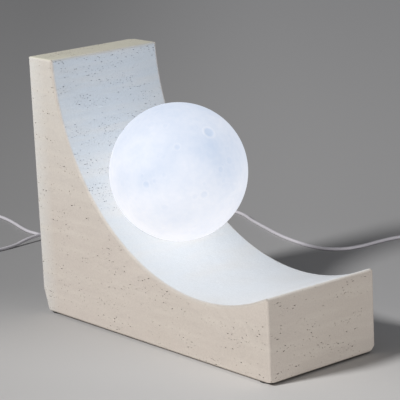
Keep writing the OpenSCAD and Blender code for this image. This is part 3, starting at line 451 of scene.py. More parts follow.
@dataclass(frozen=True)
class CastStone(Finish):
    """Cast stone, honed by hand: warm clouds, level streaks of the pour, sand specks and pin pores.

    Attributes:
        streak: The colour of the paler streaks.
        pore: The colour inside the pin pores.
        edge: The colour towards the left end, paler and cooler as a painted highlight.
        slide: The colour of the slide, painted cooler and paler to stand in for the globe's light on it.
        toe: The colour of the slide towards its toe, painted paler still as painted light there.
        wear_and_edge_shade: The colour of the rounded edge along the slide, painted shade that dims its
            highlight.
        crown: The colour towards the top, where the fine grains settled last.
        painted_top_light: The colour of the top face, painted paler and yellower to stand in for light
            from above.
        streak_mm: The height of a streak.
        streak_run_mm: The length of a streak.
        sand_mm: The size of the sand specks, drawn coarser than real sand so that they show.
        hand_mm: The size of the low waves that honing by hand leaves.
        hand_run: The scale of those waves along the level, which draws them out.
        hand_share: Their height as a share of the sand's.
        pore_mm: The spacing of the pin pores.
        pore_share: The same for a pore, below nought because it sinks.
    """

    streak: str = "#D3CBC0"
    pore: str = "#9E9283"
    edge: str = "#D0CECA"
    slide: str = "#C2C4C4"
    toe: str = "#E7E3DD"
    wear_and_edge_shade: str = "#BDB4AA"
    crown: str = "#C8C2BA"
    painted_top_light: str = "#D3D0BF"
    streak_mm: float = 7.0
    streak_run_mm: float = 70.0
    sand_mm: float = 1.3
    hand_mm: float = 4.5
    hand_run: float = 0.55
    hand_share: float = 1.6
    pore_mm: float = 3.2
    pore_share: float = -1.5
    depth_mm: float = 0.16

    def zones(self, tree: Tree, spot: Socket, sand: Node, pores: Node) -> dict[str, Node]:
        """Works out how strongly each zone of the stone shows at every place.

        Args:
            tree: The material's tree.
            spot: The place, in metres.
            sand: The pattern of the sand specks.
            pores: The pattern of the pin pores.

        Returns:
            The weight of each zone by name.
        """
        run = self.streak_mm / self.streak_run_mm
        level = add_node(tree, "ShaderNodeMapping", {"Vector": spot, "Scale": (run, run, 1.0)})
        streaks = add_node(tree, NOISE, sized(level, self.streak_mm, Detail=3.0))
        at = add_node(tree, "ShaderNodeSeparateXYZ", {0: spot}).outputs
        aside = add_node(tree, MATH, {0: at["Y"]}, operation="ABSOLUTE")
        flat = add_node(tree, VECTORS, {0: spot, 1: (1.0, 0.0, 1.0)}, operation="MULTIPLY")
        off_axis, off_globe = (
            add_node(tree, VECTORS, {0: start, 1: tuple(c * MM for c in middle)}, operation="DISTANCE")
            for start, middle in ((flat, (Stone.slide_x, 0.0, Stone.slide_z)), (spot, Globe.middle)))
        arc, side = Stone.slide_radius, Stone.half_width
        # what each zone follows, from where to where in metres or shares, and its weight at both
        ramps: dict[str, tuple[Node | Socket, float, float, float, float]] = {
            "streak": (streaks, 0.42, 0.72, 0.0, 0.35),
            "pored": (streaks, 0.50, 0.58, 0.0, 1.0),
            "speck": (sand, 0.3, 0.7, 0.93, 1.05),
            "pore": (pores, 0.10, 0.17, 1.0, 0.0),
            # the slide, and the dish round the globe, get the globe's cool light painted on as colour
            "slide": (off_axis, (arc + 0.3) * MM, (arc + 2.5) * MM, 1.0, 0.0),
            "near": (off_axis, (arc + 1.2) * MM, (arc + 3.2) * MM, 1.0, 0.0),
            "dish": (off_globe, (Globe.radius + 4.0) * MM, (Globe.radius + 7.0) * MM, 1.0, 0.0),
            "rim": (aside, (side - 3.0) * MM, (side - 1.2) * MM, 0.0, 1.0),
            "crown": (at["Z"], 0.08, 0.20, 0.0, 1.0),
            # painted light on the top face
            "top_light_mask": (at["Z"], (Stone.top - 1.5) * MM, (Stone.top - 0.1) * MM, 0.0, 1.0),
            # a painted highlight at the left end
            "left_highlight_mask": (at["X"], -0.130, -0.150, 0.0, 0.8),
            # painted light on the slide, growing towards the toe
            "toe_light_mask": (at["X"], -0.04, 0.14, 0.0, 1.0),
        }
        made = {
            name: add_node(tree, RANGE, {"Value": value, "From Min": low, "From Max": high,
                                         "To Min": at_low, "To Max": at_high})
            for name, (value, low, high, at_low, at_high) in ramps.items()
        }
        # inside spreads the slide's painted globe light over the dish, and roll lays painted shade on the
        # rolled edge along the slide
        for name, operation, one, two in (("inside", "MAXIMUM", "slide", "dish"),
                                          ("roll", "MULTIPLY", "rim", "near")):
            made[name] = add_node(tree, MATH, {0: made[one], 1: made[two]}, operation=operation)
        outside = add_node(tree, MATH, {0: 1.0, 1: made["inside"]}, operation="SUBTRACT")
        for other in (outside, made["pore"]):
            made["pored"] = add_node(tree, MATH, {0: made["pored"], 1: other}, operation="MULTIPLY")
        return made

    def make(self) -> Material:
        """Builds the material.

        Returns:
            The finished material.
        """
        material, shader, spot = self.start()
        tree = material.node_tree
        sand = add_node(tree, NOISE, sized(spot, self.sand_mm, Detail=4.0, Roughness=0.7))
        pores = add_node(tree, "ShaderNodeTexVoronoi", sized(spot, self.pore_mm), feature="F1")
        zones = self.zones(tree, spot, sand, pores)
        # painted light on the slide: the globe's cool light, paler towards the toe
        honed = add_node(tree, MIX, {
            0: zones["toe_light_mask"], 6: linear(self.slide), 7: linear(self.toe)}, **COLOURS)
        colour = shader.inputs["Base Color"].links[0].from_socket
        # among these layers the slide is painted with the globe's cool light, the left end has a painted
        # highlight, the top face has painted light from above, and the rolled edge along the slide has
        # painted shade
        layers = {
            "crown": linear(self.crown), "left_highlight_mask": linear(self.edge), "top_light_mask": linear(self.painted_top_light),
            "inside": honed, "roll": linear(self.wear_and_edge_shade), "streak": linear(self.streak),
        }
        for zone, over in layers.items():
            colour = add_node(tree, MIX, {0: zones[zone], 6: colour, 7: over}, **COLOURS)
        sanded = add_node(tree, VECTORS, {0: colour, "Scale": zones["speck"]}, operation="SCALE")
        shown = add_node(tree, MIX, {0: zones["pored"], 6: sanded, 7: linear(self.pore)}, **COLOURS)
        feed(shader, {"Base Color": shown})
        self.vary_gloss(shader, sand)
        # the waves of honing lie level, and the pores sink below them
        level = add_node(tree, "ShaderNodeMapping", {
            "Vector": spot, "Scale": (self.hand_run, self.hand_run, 1.0)})
        hand = add_node(tree, NOISE, sized(level, self.hand_mm, Detail=2.0))
        wear_and_edge_shade = sand
        for pattern, share in ((hand, self.hand_share), (zones["pored"], self.pore_share)):
            wear_and_edge_shade = add_node(tree, MATH, {0: pattern, 1: share, 2: wear_and_edge_shade}, operation="MULTIPLY_ADD")
        self.relief(shader, wear_and_edge_shade)
        return material


class Stuff(Enum):
    """Every finish on the lamp, by its place in the build."""

    # warm, clouded and matt, with paler level streaks and fine pores, and painted light and shade on the
    # slide, its rolled edge, the left end and the top
    STONE = CastStone("Cast stone, honed", "#C8BEB6", "#C3B9AE", drift_mm=90.0, roughness=0.8)
    # raw grain inside a pit, darker than the honed face round it
    PORES = Moulded("Cast stone, open pores", "#BDB6AC", "#A9A299",
                    drift_mm=3.0, roughness=0.95, grain_mm=0.4, depth_mm=0.1)
    # the same raw grain, painted cooler and greyer to stand in for the globe's light
    SLIDE_PORES = Moulded("Cast stone, open pores in the slide", "#ABADB0", "#95979C",
                          drift_mm=3.0, roughness=0.95, grain_mm=0.4, depth_mm=0.1)
    # a soft even glow without a hard highlight
    GLOBE = LitOpal("Opal acrylic, lit", "#6C717A", "#666B76", drift_mm=20.0, roughness=0.72, ior=1.40)
    # a milky cap, brighter than the globe round it
    DOME = Glowing("Opal polycarbonate, lit", "#E8EDF5", "#DDE4EF",
                   drift_mm=6.0, ior=1.58, glow="#EDF3FF", strength=0.7)
    # yellow dots that look nearly white while lit
    CHIP = Glowing("Chip phosphor, lit", "#F0D873", "#E6C95C",
                   drift_mm=1.0, roughness=0.6, glow="#FFFBE6", strength=1.0)
    # a satin grey whose highlights end softly
    PALE_ABS = Moulded("ABS, light grey, moulded", "#DEDDD8", "#D5D4CF", ior=1.53)
    # the same grain on charcoal, a little duller
    DARK_ABS = Moulded("ABS, dark grey, moulded", "#2B2C2E", "#242527", roughness=0.55, ior=1.53)
    # cleaner and glossier than the other cases
    WHITE_ABS = Moulded("ABS, white, polished", "#E9E9E6", "#E2E2DF",
                        roughness=0.3, ior=1.53, depth_mm=0.006)
    # nearly black, with a dull waxy gloss
    DARK_NYLON = Moulded("Nylon, black, moulded", "#1F2022", "#292A2C",
                         roughness=0.6, ior=1.53, depth_mm=0.03)
    # clear green with a small sharp highlight
    GREEN_NYLON = Moulded("Nylon, green, moulded", "#2F7D4B", "#276C40", roughness=0.4, ior=1.53)
    # poured, so smooth and dark with a wet edge
    EPOXY = Moulded("Epoxy, dark, potted", "#26282B", "#303236", drift_mm=4.0, roughness=0.45, ior=1.55)
    # soft brown-black with gentle waves
    WIRE = Jacket("Silicone wire covering, dark", "#30292B", "#3A3133", drift_mm=6.0, ior=1.41)
    # deep green gloss with paler lines
    BOARD = Laminate("Glass-fibre board, green mask", "#1C5A36", "#174D2E",
                     drift_mm=9.0, roughness=0.35, ior=1.55)
    # matt black that lightens towards its edges
    DARK_RUBBER = Moulded("Silicone rubber, black", "#222222", "#2C2C2C",
                          roughness=0.7, ior=1.41, grain_mm=0.8, depth_mm=0.03, sheen=0.2)
    # white and soft, without a bright highlight
    WHITE_RUBBER = Moulded("TPE, white, moulded", "#E4E4E4", "#DBDBDC", grain_mm=0.6, sheen=0.1)
    # off-white with a low gloss that waves along the lead
    PVC = Jacket("PVC jacket, white, extruded", "#D6D3D8", "#CBC7CD",
                 drift_mm=30.0, roughness=0.42, ior=1.53)
    # pale grey with fine lines round it
    ALUMINIUM = Metal("Aluminium, turned", "#C6C8CB", "#BCBEC2", roughness=0.35, run=(1.0, 0.08, 1.0))
    # warm yellow with tight tool marks
    BRASS = Metal("Brass, turned", "#C9A65C", "#BC9850", roughness=0.3, line_mm=0.3, run=(1.0, 1.0, 1.0))
    # bluish grey whose tint drifts from spot to spot
    ZINC = Metal("Steel, zinc plated", "#B9BCC2", "#ABB0BA",
                 drift_mm=2.0, roughness=0.32, line_mm=0.5, run=(1.0, 1.0, 1.0))
    # darker steel with a smooth, cold shine
    SPRING = Metal("Spring steel, blued edge", "#A9ABB0", "#8F949E", drift_mm=5.0, roughness=0.25)
    # bright silver with a warm cast
    NICKEL = Metal("Steel, nickel plated", "#C9C7C1", "#BFBDB6",
                   drift_mm=8.0, roughness=0.22, line_mm=0.5)

    @cache
    def material(self) -> Material:
        """Returns the finish's material, made when it is first asked for."""
        return self.value.make()

    def dress(self, thing: Object) -> None:
        """Gives an object this finish all over.

        Args:
            thing: The object, new or from the CAD model.
        """
        if not thing.data.materials:
            thing.data.materials.append(self.material())
        for slot in thing.material_slots:
            slot.material = self.material()


def dress_nodes(choice: dict[str, Stuff]) -> None:
    """Gives CAD nodes their finishes.

    Args:
        choice: The finish of each node by name.
    """
    for name, stuff in choice.items():
        stuff.dress(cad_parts[name])
        LOG.info("%-18s %s", name, stuff.value.name)


# Pits and nicks, strewn over a surface


@dataclass
class Scatter:
    """Small rough hollows strewn over a surface in level streaks, made by one node tree.

    Attributes:
        mask: The face attribute that says where they may lie.
        density: The most hollows on a square metre.
        spacing: The least distance between two, in millimetres.
        smallest: The least radius, in millimetres. Real pits go finer, but would not show.
        largest: The greatest radius, in millimetres.
        lift: How far their middles stand off the surface, as a share of the radius.
        flat: Their height as a share of their width.
        level: The noise above which a streak has hollows.
        stray: The share of the others that are kept.
        run_mm: The length of a streak.
        rise_mm: The height of a streak.
        seed: The seed of everything random.
    """

    mask: str
    density: float
    spacing: float
    smallest: float
    largest: float
    lift: float = 0.0
    flat: float = 0.7
    level: float = 0.55
    stray: float = 0.06
    run_mm: float = 60.0
    rise_mm: float = 14.0
    seed: int = 7

    def tree(self, sizes: dict[str, Setting]) -> Tree:
        """Builds the node tree that turns a surface into its hollows.

        Args:
            sizes: The value of each named input that the tree gets.

        Returns:
            The tree.
        """
        next_seed, rarity, long = 11.0, 2.2, (0.7, 1.3)
        tip, whole_turn, lumps, jut = 0.35, 6.283, 1.4, 0.4
        tree = bpy.data.node_groups.new("Strew hollows", "GeometryNodeTree")
        kinds = {float: "Float", int: "Int", str: "String", Material: "Material"}
        add_input = tree.interface.new_socket
        add_input("Surface", in_out="INPUT", socket_type="NodeSocketGeometry")
        add_input("Hollows", in_out="OUTPUT", socket_type="NodeSocketGeometry")
        for name, value in sizes.items():
            add_input(name, in_out="INPUT", socket_type="NodeSocket" + kinds[type(value)])
        given = add_node(tree, "NodeGroupInput").outputs
        seed = given["Seed"]
        mask = add_node(tree, "GeometryNodeInputNamedAttribute", {"Name": given["Mask"]},
                        data_type="BOOLEAN")
        strewn = add_node(tree, "GeometryNodeDistributePointsOnFaces", {
            "Mesh": given["Surface"], "Selection": mask, "Distance Min": given["Least distance"],
            "Density Max": given["Most on a square metre"], "Seed": seed}, distribute_method="POISSON")
        spot = add_node(tree, "GeometryNodeInputPosition")
        streak = add_node(tree, XYZ, {
            0: given["Streak run"], 1: given["Streak run"], 2: given["Streak rise"]})
        bed = add_node(tree, VECTORS, {0: spot, 1: streak}, operation="DIVIDE")
        noise = add_node(tree, NOISE, {"Vector": bed, "Scale": 1.0, "Detail": 2.0})
        other_seed = add_node(tree, MATH, {0: seed, 1: next_seed}, operation="ADD")
        stray, luck, stretch = (
            add_node(tree, CHANCE, {2: least, 3: most, "Seed": start}, data_type="FLOAT")
            for least, most, start in ((0.0, 1.0, seed), (0.0, 1.0, other_seed), (*long, seed)))
        low, rare = (
            add_node(tree, "FunctionNodeCompare", {0: value, 1: given[limit]},
                     data_type="FLOAT", operation=test)
            for value, limit, test in ((noise, "Streak level", "LESS_THAN"),
                                       (stray, "Stray share", "GREATER_THAN")))
        gone = add_node(tree, "FunctionNodeBooleanMath", {0: low, 1: rare}, operation="AND")
        kept = add_node(tree, "GeometryNodeDeleteGeometry", {
            "Geometry": strewn.outputs["Points"], "Selection": gone}, domain="POINT")
        # most hollows are small, and a few are large
        few = add_node(tree, MATH, {0: luck, 1: rarity}, operation="POWER")
        radius = add_node(tree, RANGE, {
            "Value": few, "To Min": given["Least radius"], "To Max": given["Greatest radius"]})
        off, high, wide = (
            add_node(tree, MATH, {0: radius, 1: share}, operation="MULTIPLY")
            for share in (given["Lift"], given["Flatness"], stretch))
        away = add_node(tree, VECTORS, {0: strewn.outputs["Normal"], "Scale": off}, operation="SCALE")
        lifted = add_node(tree, "GeometryNodeSetPosition", {"Geometry": kept, "Offset": away})
        shape = add_node(tree, XYZ, {0: wide, 1: radius, 2: high})
        turn = add_node(tree, CHANCE, {
            0: (-tip, -tip, 0.0), 1: (tip, tip, whole_turn), "Seed": seed}, data_type="FLOAT_VECTOR")
        blob = add_node(tree, "GeometryNodeMeshIcoSphere", {"Radius": 1.0, "Subdivisions": 1})
        rough = add_node(tree, NOISE, {"Scale": lumps, "Detail": 1.0})
        shift = add_node(tree, VECTORS, {
            0: rough.outputs[1], 1: (2 * jut,) * 3, 2: (-jut,) * 3}, operation="MULTIPLY_ADD")
        lump = add_node(tree, "GeometryNodeSetPosition", {"Geometry": blob, "Offset": shift})
        strew = add_node(tree, "GeometryNodeInstanceOnPoints", {
            "Points": lifted, "Instance": lump, "Rotation": turn, "Scale": shape})
        real = add_node(tree, "GeometryNodeRealizeInstances", {"Geometry": strew})
        done = add_node(tree, "GeometryNodeSetMaterial", {
            "Geometry": real, "Material": given["Material"]})
        add_node(tree, "NodeGroupOutput", {0: done})
        return tree

    def over(self, surface: Mesh, material: Material, name: str) -> Object:
        """Strews hollows over a surface.

        Args:
            surface: The mesh to strew over, with the mask attribute.
            material: The finish inside a hollow.
            name: The name of the result.

        Returns:
            A plain object that holds every hollow as a closed lump.
        """
        sizes = {
            "Most on a square metre": self.density, "Least distance": self.spacing * MM,
            "Least radius": self.smallest * MM, "Greatest radius": self.largest * MM,
            "Lift": self.lift, "Flatness": self.flat, "Streak level": self.level,
            "Stray share": self.stray, "Streak run": self.run_mm * MM,
            "Streak rise": self.rise_mm * MM, "Mask": self.mask, "Seed": self.seed,
            "Material": material,
        }
        holder = new_object(name + "_tree", surface.copy())
        strewer = holder.modifiers.new("Strew hollows", "NODES")
        strewer.node_group = self.tree(sizes)
        for item in strewer.node_group.interface.items_tree:
            if item.name in sizes:
                strewer[item.identifier] = sizes[item.name]
        return as_plain_mesh(holder, name)


# The lamp's parts


@dataclass
class Stone:
    """The cast body: the CAD solid with open pits, nicked edges and one broken bottom corner.

    Attributes:
        half_length: Half its length, in millimetres.
        half_width: Half its width.
        top: The height of its top.
        slide_x: The slide's axis along X.
        slide_z: The slide's axis along Z.
        slide_radius: The slide's radius.
        base: The height of its underside.
        toe: The height of its toe.
        smooth_up_to: The height up to which the slide is free of pits.
        near: How near to a plane a face must lie to be a part of it.
        rolled: The width of the rolled edges.
        cut_steps: How many points a broken face has each way.
    """

    half_length: float = 153.5
    half_width: float = 59.0
    top: float = 235.0
    slide_x: float = 69.81
    slide_z: float = 243.46
    slide_radius: float = 189.0
    base: float = 1.5
    toe: float = 74.0
    smooth_up_to: float = 105.0
    near: float = 0.05
    rolled: float = 2.6
    cut_steps: int = 16

    def shell(self) -> Mesh:
        """Copies the CAD solid and marks where pits and nicks may lie.

        Returns:
            A closed mesh with the face attributes "open", "slide" and "edge".
        """
        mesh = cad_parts["stone_body"].data.copy()
        work = bmesh.new()
        work.from_mesh(mesh)
        bmesh.ops.remove_doubles(work, verts=work.verts, dist=1e-6)
        work.to_mesh(mesh)
        work.free()
        middle, normal = (np.empty((len(mesh.polygons), 3)) for _ in range(2))
        mesh.polygons.foreach_get("center", middle.ravel())
        mesh.polygons.foreach_get("normal", normal.ravel())
        along, across, high = np.abs(middle[:, 0] / MM), np.abs(middle[:, 1] / MM), middle[:, 2] / MM
        tilt = np.abs(normal[:, 1])
        off_axis = np.hypot(middle[:, 0] / MM - self.slide_x, high - self.slide_z)
        # a face lies on the slide near its arc and unturned, and on a rolled edge in between
        arc_near, unturned, rolling, clear_of_floor = 0.4, 0.02, (0.2, 0.97), 5.0
        on_arc = np.abs(off_axis - self.slide_radius) < arc_near
        slide = on_arc & (tilt < unturned) & (high > self.smooth_up_to)
        sides = across > self.half_width - self.near
        ends = along > self.half_length - self.near
        top = high > self.top - self.near
        outmost = (across > self.half_width - self.rolled) & (high > clear_of_floor)
        edge = (tilt > rolling[0]) & (tilt < rolling[1]) & outmost
        for name, where in (("open", sides | ends | top), ("slide", slide), ("edge", edge)):
            mark = mesh.attributes.new(name, "BOOLEAN", "FACE")
            mark.data.foreach_set("value", where)
        return mesh

    def corner_cutter(self, corner: Place, reach: Place, depth: float, material: Material) -> Object:
        """Builds the rough block that breaks or wears off one corner of the body.

        Args:
            corner: The sharp corner, in millimetres.
            reach: How far the broken face reaches from it along X, Y and Z, with signs.
            depth: How rough the broken face is.
            material: The finish of the broken face.

        Returns:
            The block.
        """
        sharp, steps, seed = Vector(corner), self.cut_steps, 5
        overhang, thickness = 1.5, 40.0
        along, across, high = (sharp + Vector(axis) * far for axis, far in
                               zip(((1, 0, 0), (0, 1, 0), (0, 0, 1)), reach))
        out = (along - high).cross(across - high).normalized()
        if out.dot(sharp - high) < 0:
            out = -out
        side = out.orthogonal().normalized()
        rise = out.cross(side)
        span = overhang * max(abs(far) for far in reach)
        grid = np.linspace(-span, span, steps)
        rough = np.random.default_rng(seed).normal(0.0, depth, (steps, steps))
        work = bmesh.new()
        made = []
        for push in (rough, np.full((steps, steps), thickness)):
            for i, u in enumerate(grid):
                for j, v in enumerate(grid):
                    spot = high + side * u + rise * v + out * float(push[i, j])
                    made.append(work.verts.new(spot * MM))
        layer = steps * steps
        for i in range(steps - 1):
            for j in range(steps - 1):
                first = i * steps + j
                ring = (first, first + steps, first + steps + 1, first + 1)
                work.faces.new([made[k] for k in ring])
                work.faces.new([made[k + layer] for k in reversed(ring)])
        for i in range(steps - 1):
            for start, stride in ((0, 1), (layer - steps, 1), (0, steps), (steps - 1, steps)):
                a, b = start + i * stride, start + (i + 1) * stride
                work.faces.new([made[k] for k in (a, b, b + layer, a + layer)])
        bmesh.ops.recalc_face_normals(work, faces=work.faces)
        mesh = bpy.data.meshes.new("corner_cutter")
        work.to_mesh(mesh)
        work.free()
        mesh.materials.append(material)
        return new_object("corner_cutter", mesh)

    def build(self) -> Object:
        """Cuts the pits, nicks and broken corner into the body.

        Returns:
            The finished piece.
        """
        skin, pores, globe_lit_pores = (
            stuff.material() for stuff in (Stuff.STONE, Stuff.PORES, Stuff.SLIDE_PORES))
        mesh = self.shell()
        pits = Scatter("open", density=190000.0, spacing=2.1, smallest=0.34, largest=1.55, flat=0.32,
                       level=0.56, stray=0.03, run_mm=32.0, rise_mm=8.0, seed=7)
        slide_pits = Scatter("slide", density=300000.0, spacing=1.7, smallest=0.32, largest=1.0,
                             flat=0.42, level=0.50, stray=0.10, run_mm=34.0, rise_mm=9.0, seed=5)
        nicks = Scatter("edge", density=9000.0, spacing=7.0, smallest=1.2, largest=3.2,
                        lift=0.72, flat=0.8, level=0.5, stray=0.4, seed=3)
        body = new_object("stone", mesh)
        body.data.materials.clear()
        for material in (skin, pores, globe_lit_pores):
            body.data.materials.append(material)
        left, right = -self.half_length, self.half_length
        front, back = -self.half_width, self.half_width
        # each corner, how far the wear reaches along X, Y and Z, and how rough it is
        wear_and_edge_shade = (
            ((left, front, self.base), (9.0, 13.0, 25.5), 0.45),
            ((right, front, self.base), (-9.0, 9.0, 2.0), 0.10),
            ((right, back, self.base), (-7.0, -7.0, 6.0), 0.12),
            ((right, back, self.toe), (-6.0, -5.5, -4.6), 0.08),
            ((left, back, self.top), (8.0, -9.0, -6.0), 0.12),
        )
        cutters = [
            pits.over(mesh, pores, "pits"),
            # the pits in the slide are lined with pore colour painted with the globe's light
            slide_pits.over(mesh, globe_lit_pores, "slide_pits"),
            nicks.over(mesh, skin, "nicks"),
            *(self.corner_cutter(corner, reach, depth, skin) for corner, reach, depth in wear_and_edge_shade),
        ]
        for cutter in cutters:
            cut = body.modifiers.new(cutter.name, "BOOLEAN")
            cut.operation = "DIFFERENCE"
            cut.object = cutter
            cut.solver = "MANIFOLD"
            cut.material_mode = "TRANSFER"
        piece = as_plain_mesh(body, "stone_body_pitted")
        for cutter in cutters:
            bpy.data.objects.remove(cutter)
        smooth_below(piece.data, degrees=28.0)
        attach(piece, "base")
        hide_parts("stone_body")
        LOG.info("stone body         %d faces", len(piece.data.polygons))
        return piece


@dataclass
class Globe:
    """The lit globe: an open opal shell with shallow round hollows and slow thick patches.

    Attributes:
        middle: Its centre, in millimetres.
        lean: How far its axis leans from upright towards the toe, in degrees.
        radius: Its outer radius.
        wall: Its wall.
        hole: The radius of the hole at its neck.
        hollows: How many small hollows it has.
        patches: How many slow patches it has, besides those that the photo shows.
        seed: The seed of the hollows and patches.
        throw: The colour of the light that it throws.
        power: The power of that light.
    """

    middle: Place = (-22.62, 0.0, 138.98)
    lean: float = 41.5
    radius: float = 60.0
    wall: float = 2.5
    hole: float = 25.0
    hollows: int = 150
    patches: int = 9
    seed: int = 12
    throw: str = "#C4DCFC"
    power: float = 4.55

    def stance(self) -> Matrix:
        """Returns the turn and shift from the globe's own axis to the lamp."""
        lean = Matrix.Rotation(math.radians(self.lean), 4, "Y")
        return Matrix.Translation(Vector(self.middle) * MM) @ lean

    def grid(self, radius: float, rings: int, around: int) -> np.ndarray:
        """Lays points on a sphere from its crown down to the hole.

        Args:
            radius: The sphere's radius, in millimetres.
            rings: How many rings there are.
            around: How many points a ring has.

        Returns:
            The crown's point and then the rings', rows of X, Y and Z in millimetres.
        """
        low = math.pi - math.asin(self.hole / radius)
        down = np.linspace(low / rings, low, rings)
        turn = np.linspace(0.0, 2 * math.pi, around, endpoint=False)
        down, turn = np.meshgrid(down, turn, indexing="ij")
        ways = np.stack([np.sin(down) * np.cos(turn), np.sin(down) * np.sin(turn), np.cos(down)], -1)
        return np.concatenate([[[0.0, 0.0, 1.0]], ways.reshape(-1, 3)]) * radius

    def relief(self, facing: np.ndarray) -> tuple[np.ndarray, np.ndarray]:
        """Works out the hollows and the thick patches.

        Args:
            facing: Unit directions from the centre, in the lamp's frame.

        Returns:
            How far each point stands out in millimetres, and how thick the wall looks from nought to one.
        """
        rng = np.random.default_rng(self.seed)
        out = np.zeros(len(facing))
        crown = np.array(self.stance().to_3x3().col[2])
        # the light stands low in the globe, so its upper part looks thicker
        even, to_crown, to_top = 0.28, 0.12, 0.20
        thick = even + to_crown * (facing @ crown) + to_top * facing[:, 2]

        def angle_to(way: Place) -> np.ndarray:
            """Returns the angle between each point and a direction."""
            return np.arccos(np.clip(facing @ np.array(way) / np.linalg.norm(way), -1, 1))

        def any_way() -> Place:
            """Draws a random direction."""
            way = rng.normal(size=3)
            return tuple(way / np.linalg.norm(way))

        # a few marks that the photo shows: direction, radius in mm, depth in mm
        marks = [((0.73, -0.01, 0.68), 5.0, 0.45), ((0.65, -0.53, 0.55), 2.8, 0.30),
                 ((0.40, -0.92, 0.04), 3.2, 0.34), ((0.94, -0.32, -0.13), 3.4, 0.30),
                 ((0.51, -0.85, 0.10), 2.0, 0.22), ((0.33, -0.93, 0.16), 1.8, 0.20)]
        least, spread, shallow, steep = 1.0, 3.2, 0.04, 0.05
        for _ in range(self.hollows):
            way = any_way()
            size = float(least + spread * rng.random() ** 3)
            marks.append((way, size, shallow + steep * size * float(rng.random())))
        # a hollow is a shallow bowl with a low rim, and looks thick inside and thin on its rim
        rim_at, rim_width, rim_high, rim_thin = 1.05, 0.22, 0.35, 1.4
        bowl_to, bowl_thick = 1.15, 0.5
        for way, size, deep in marks:
            span = angle_to(way) * self.radius / size
            rim = rim_high * deep * np.exp(-(((span - rim_at) / rim_width) ** 2))
            out += np.where(span < 1.0, -deep * (1.0 - span**2), 0.0) + rim
            thick += np.clip(bowl_to - span, 0.0, bowl_thick) * deep - rim_thin * rim
        # slow patches: direction, radius in radians, and how much thicker the wall looks there; one
        # wide one right of the middle, as in the photo, and others all round
        patches = [((0.95, 0.03, 0.28), 0.40, 0.30), ((0.83, -0.10, 0.55), 0.25, 0.14),
                   ((0.40, -0.90, 0.10), 0.15, 0.26), ((0.55, -0.80, 0.24), 0.12, 0.16),
                   ((0.62, -0.66, 0.42), 0.16, 0.08), ((0.20, -0.85, 0.48), 0.14, 0.08)]
        for _ in range(self.patches):
            patches.append((any_way(), float(rng.uniform(0.2, 0.45)), float(rng.uniform(-0.12, 0.25))))
        for way, span, much in patches:
            thick += much * np.exp(-((angle_to(way) / span) ** 2))
        return out, np.clip(thick, 0.0, 1.0)

    def build(self) -> Object:
        """Builds the shell, with its wall and its open neck.

        Returns:
            The finished piece.
        """
        rings, inner_rings, around, smooth_rings, lining_thick = 150, 24, 300, 3, 0.3
        turn = np.array(self.stance().to_3x3())
        skin = self.grid(self.radius, rings, around) @ turn.T
        out, thick = self.relief(skin / self.radius)
        # the last rings stay smooth, where the lip meets the neck
        last = np.arange(len(skin)) > len(skin) - smooth_rings * around
        out = np.where(last, 0.0, out)
        skin = skin * (1.0 + out / self.radius)[:, None]
        lining = self.grid(self.radius - self.wall, inner_rings, around) @ turn.T
        verts = (np.concatenate([skin, lining]) + np.array(self.middle)) * MM
        start = len(skin)

        def ring(base: int, row: int) -> np.ndarray:
            """Returns the numbers of a ring's points, with the first one again at the end."""
            return base + 1 + row * around + np.arange(around + 1) % around

        faces: list[tuple[int, ...]] = []
        for base, count, order in ((0, rings, 1), (start, inner_rings, -1)):
            first = ring(base, 0)
            faces += [(base, first[j], first[j + 1])[::order] for j in range(around)]
            for row in range(count - 1):
                above, below = ring(base, row), ring(base, row + 1)
                faces += [(above[j], below[j], below[j + 1], above[j + 1])[::order]
                          for j in range(around)]
        lip_out, lip_in = ring(0, rings - 1), ring(start, inner_rings - 1)
        faces += [(lip_out[j], lip_in[j], lip_in[j + 1], lip_out[j + 1]) for j in range(around)]
        mesh = bpy.data.meshes.new("globe_opal_shell")
        mesh.from_pydata(verts.tolist(), [], [tuple(int(i) for i in f) for f in faces])
        mark = mesh.attributes.new("wall", "FLOAT", "POINT")
        mark.data.foreach_set("value", np.concatenate([thick, np.full(len(lining), lining_thick)]))
        piece = new_object("globe_opal_shell", mesh)
        smooth_below(mesh, degrees=40.0)
        Stuff.GLOBE.dress(piece)
        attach(piece, "globe")
        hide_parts("globe_shell")
        LOG.info("globe shell        %d faces", len(mesh.polygons))
        return piece

    def lamp(self, piece: Object, lit: Object) -> None:
        """Adds the light that the globe throws on what stands round it.

        Args:
            piece: The globe, which the light moves with.
            lit: What the light falls on, and what shades it.
        """
        data = bpy.data.lights.new("globe_light", "POINT")
        data.energy = self.power
        data.color = linear(self.throw)[:3]
        data.shadow_soft_size = (self.radius - self.wall) * MM
        data.use_soft_falloff = False
        data.use_nodes = True
        tree = data.node_tree
        tree.nodes.clear()
        gentle = add_node(tree, "ShaderNodeLightFalloff", {"Strength": 1.0})
        even = add_node(tree, "ShaderNodeEmission", {"Strength": gentle.outputs["Linear"]})
        add_node(tree, "ShaderNodeOutputLight", {"Surface": even})
        light = new_object("globe_light", data)
        light.location = Vector(self.middle) * MM
        light.parent = piece
        light.visible_camera = False
        light.visible_glossy = False
        reached = bpy.data.collections.new("lit_by_the_globe")
        reached.objects.link(lit)
        light.light_linking.receiver_collection = reached
        light.light_linking.blocker_collection = reached


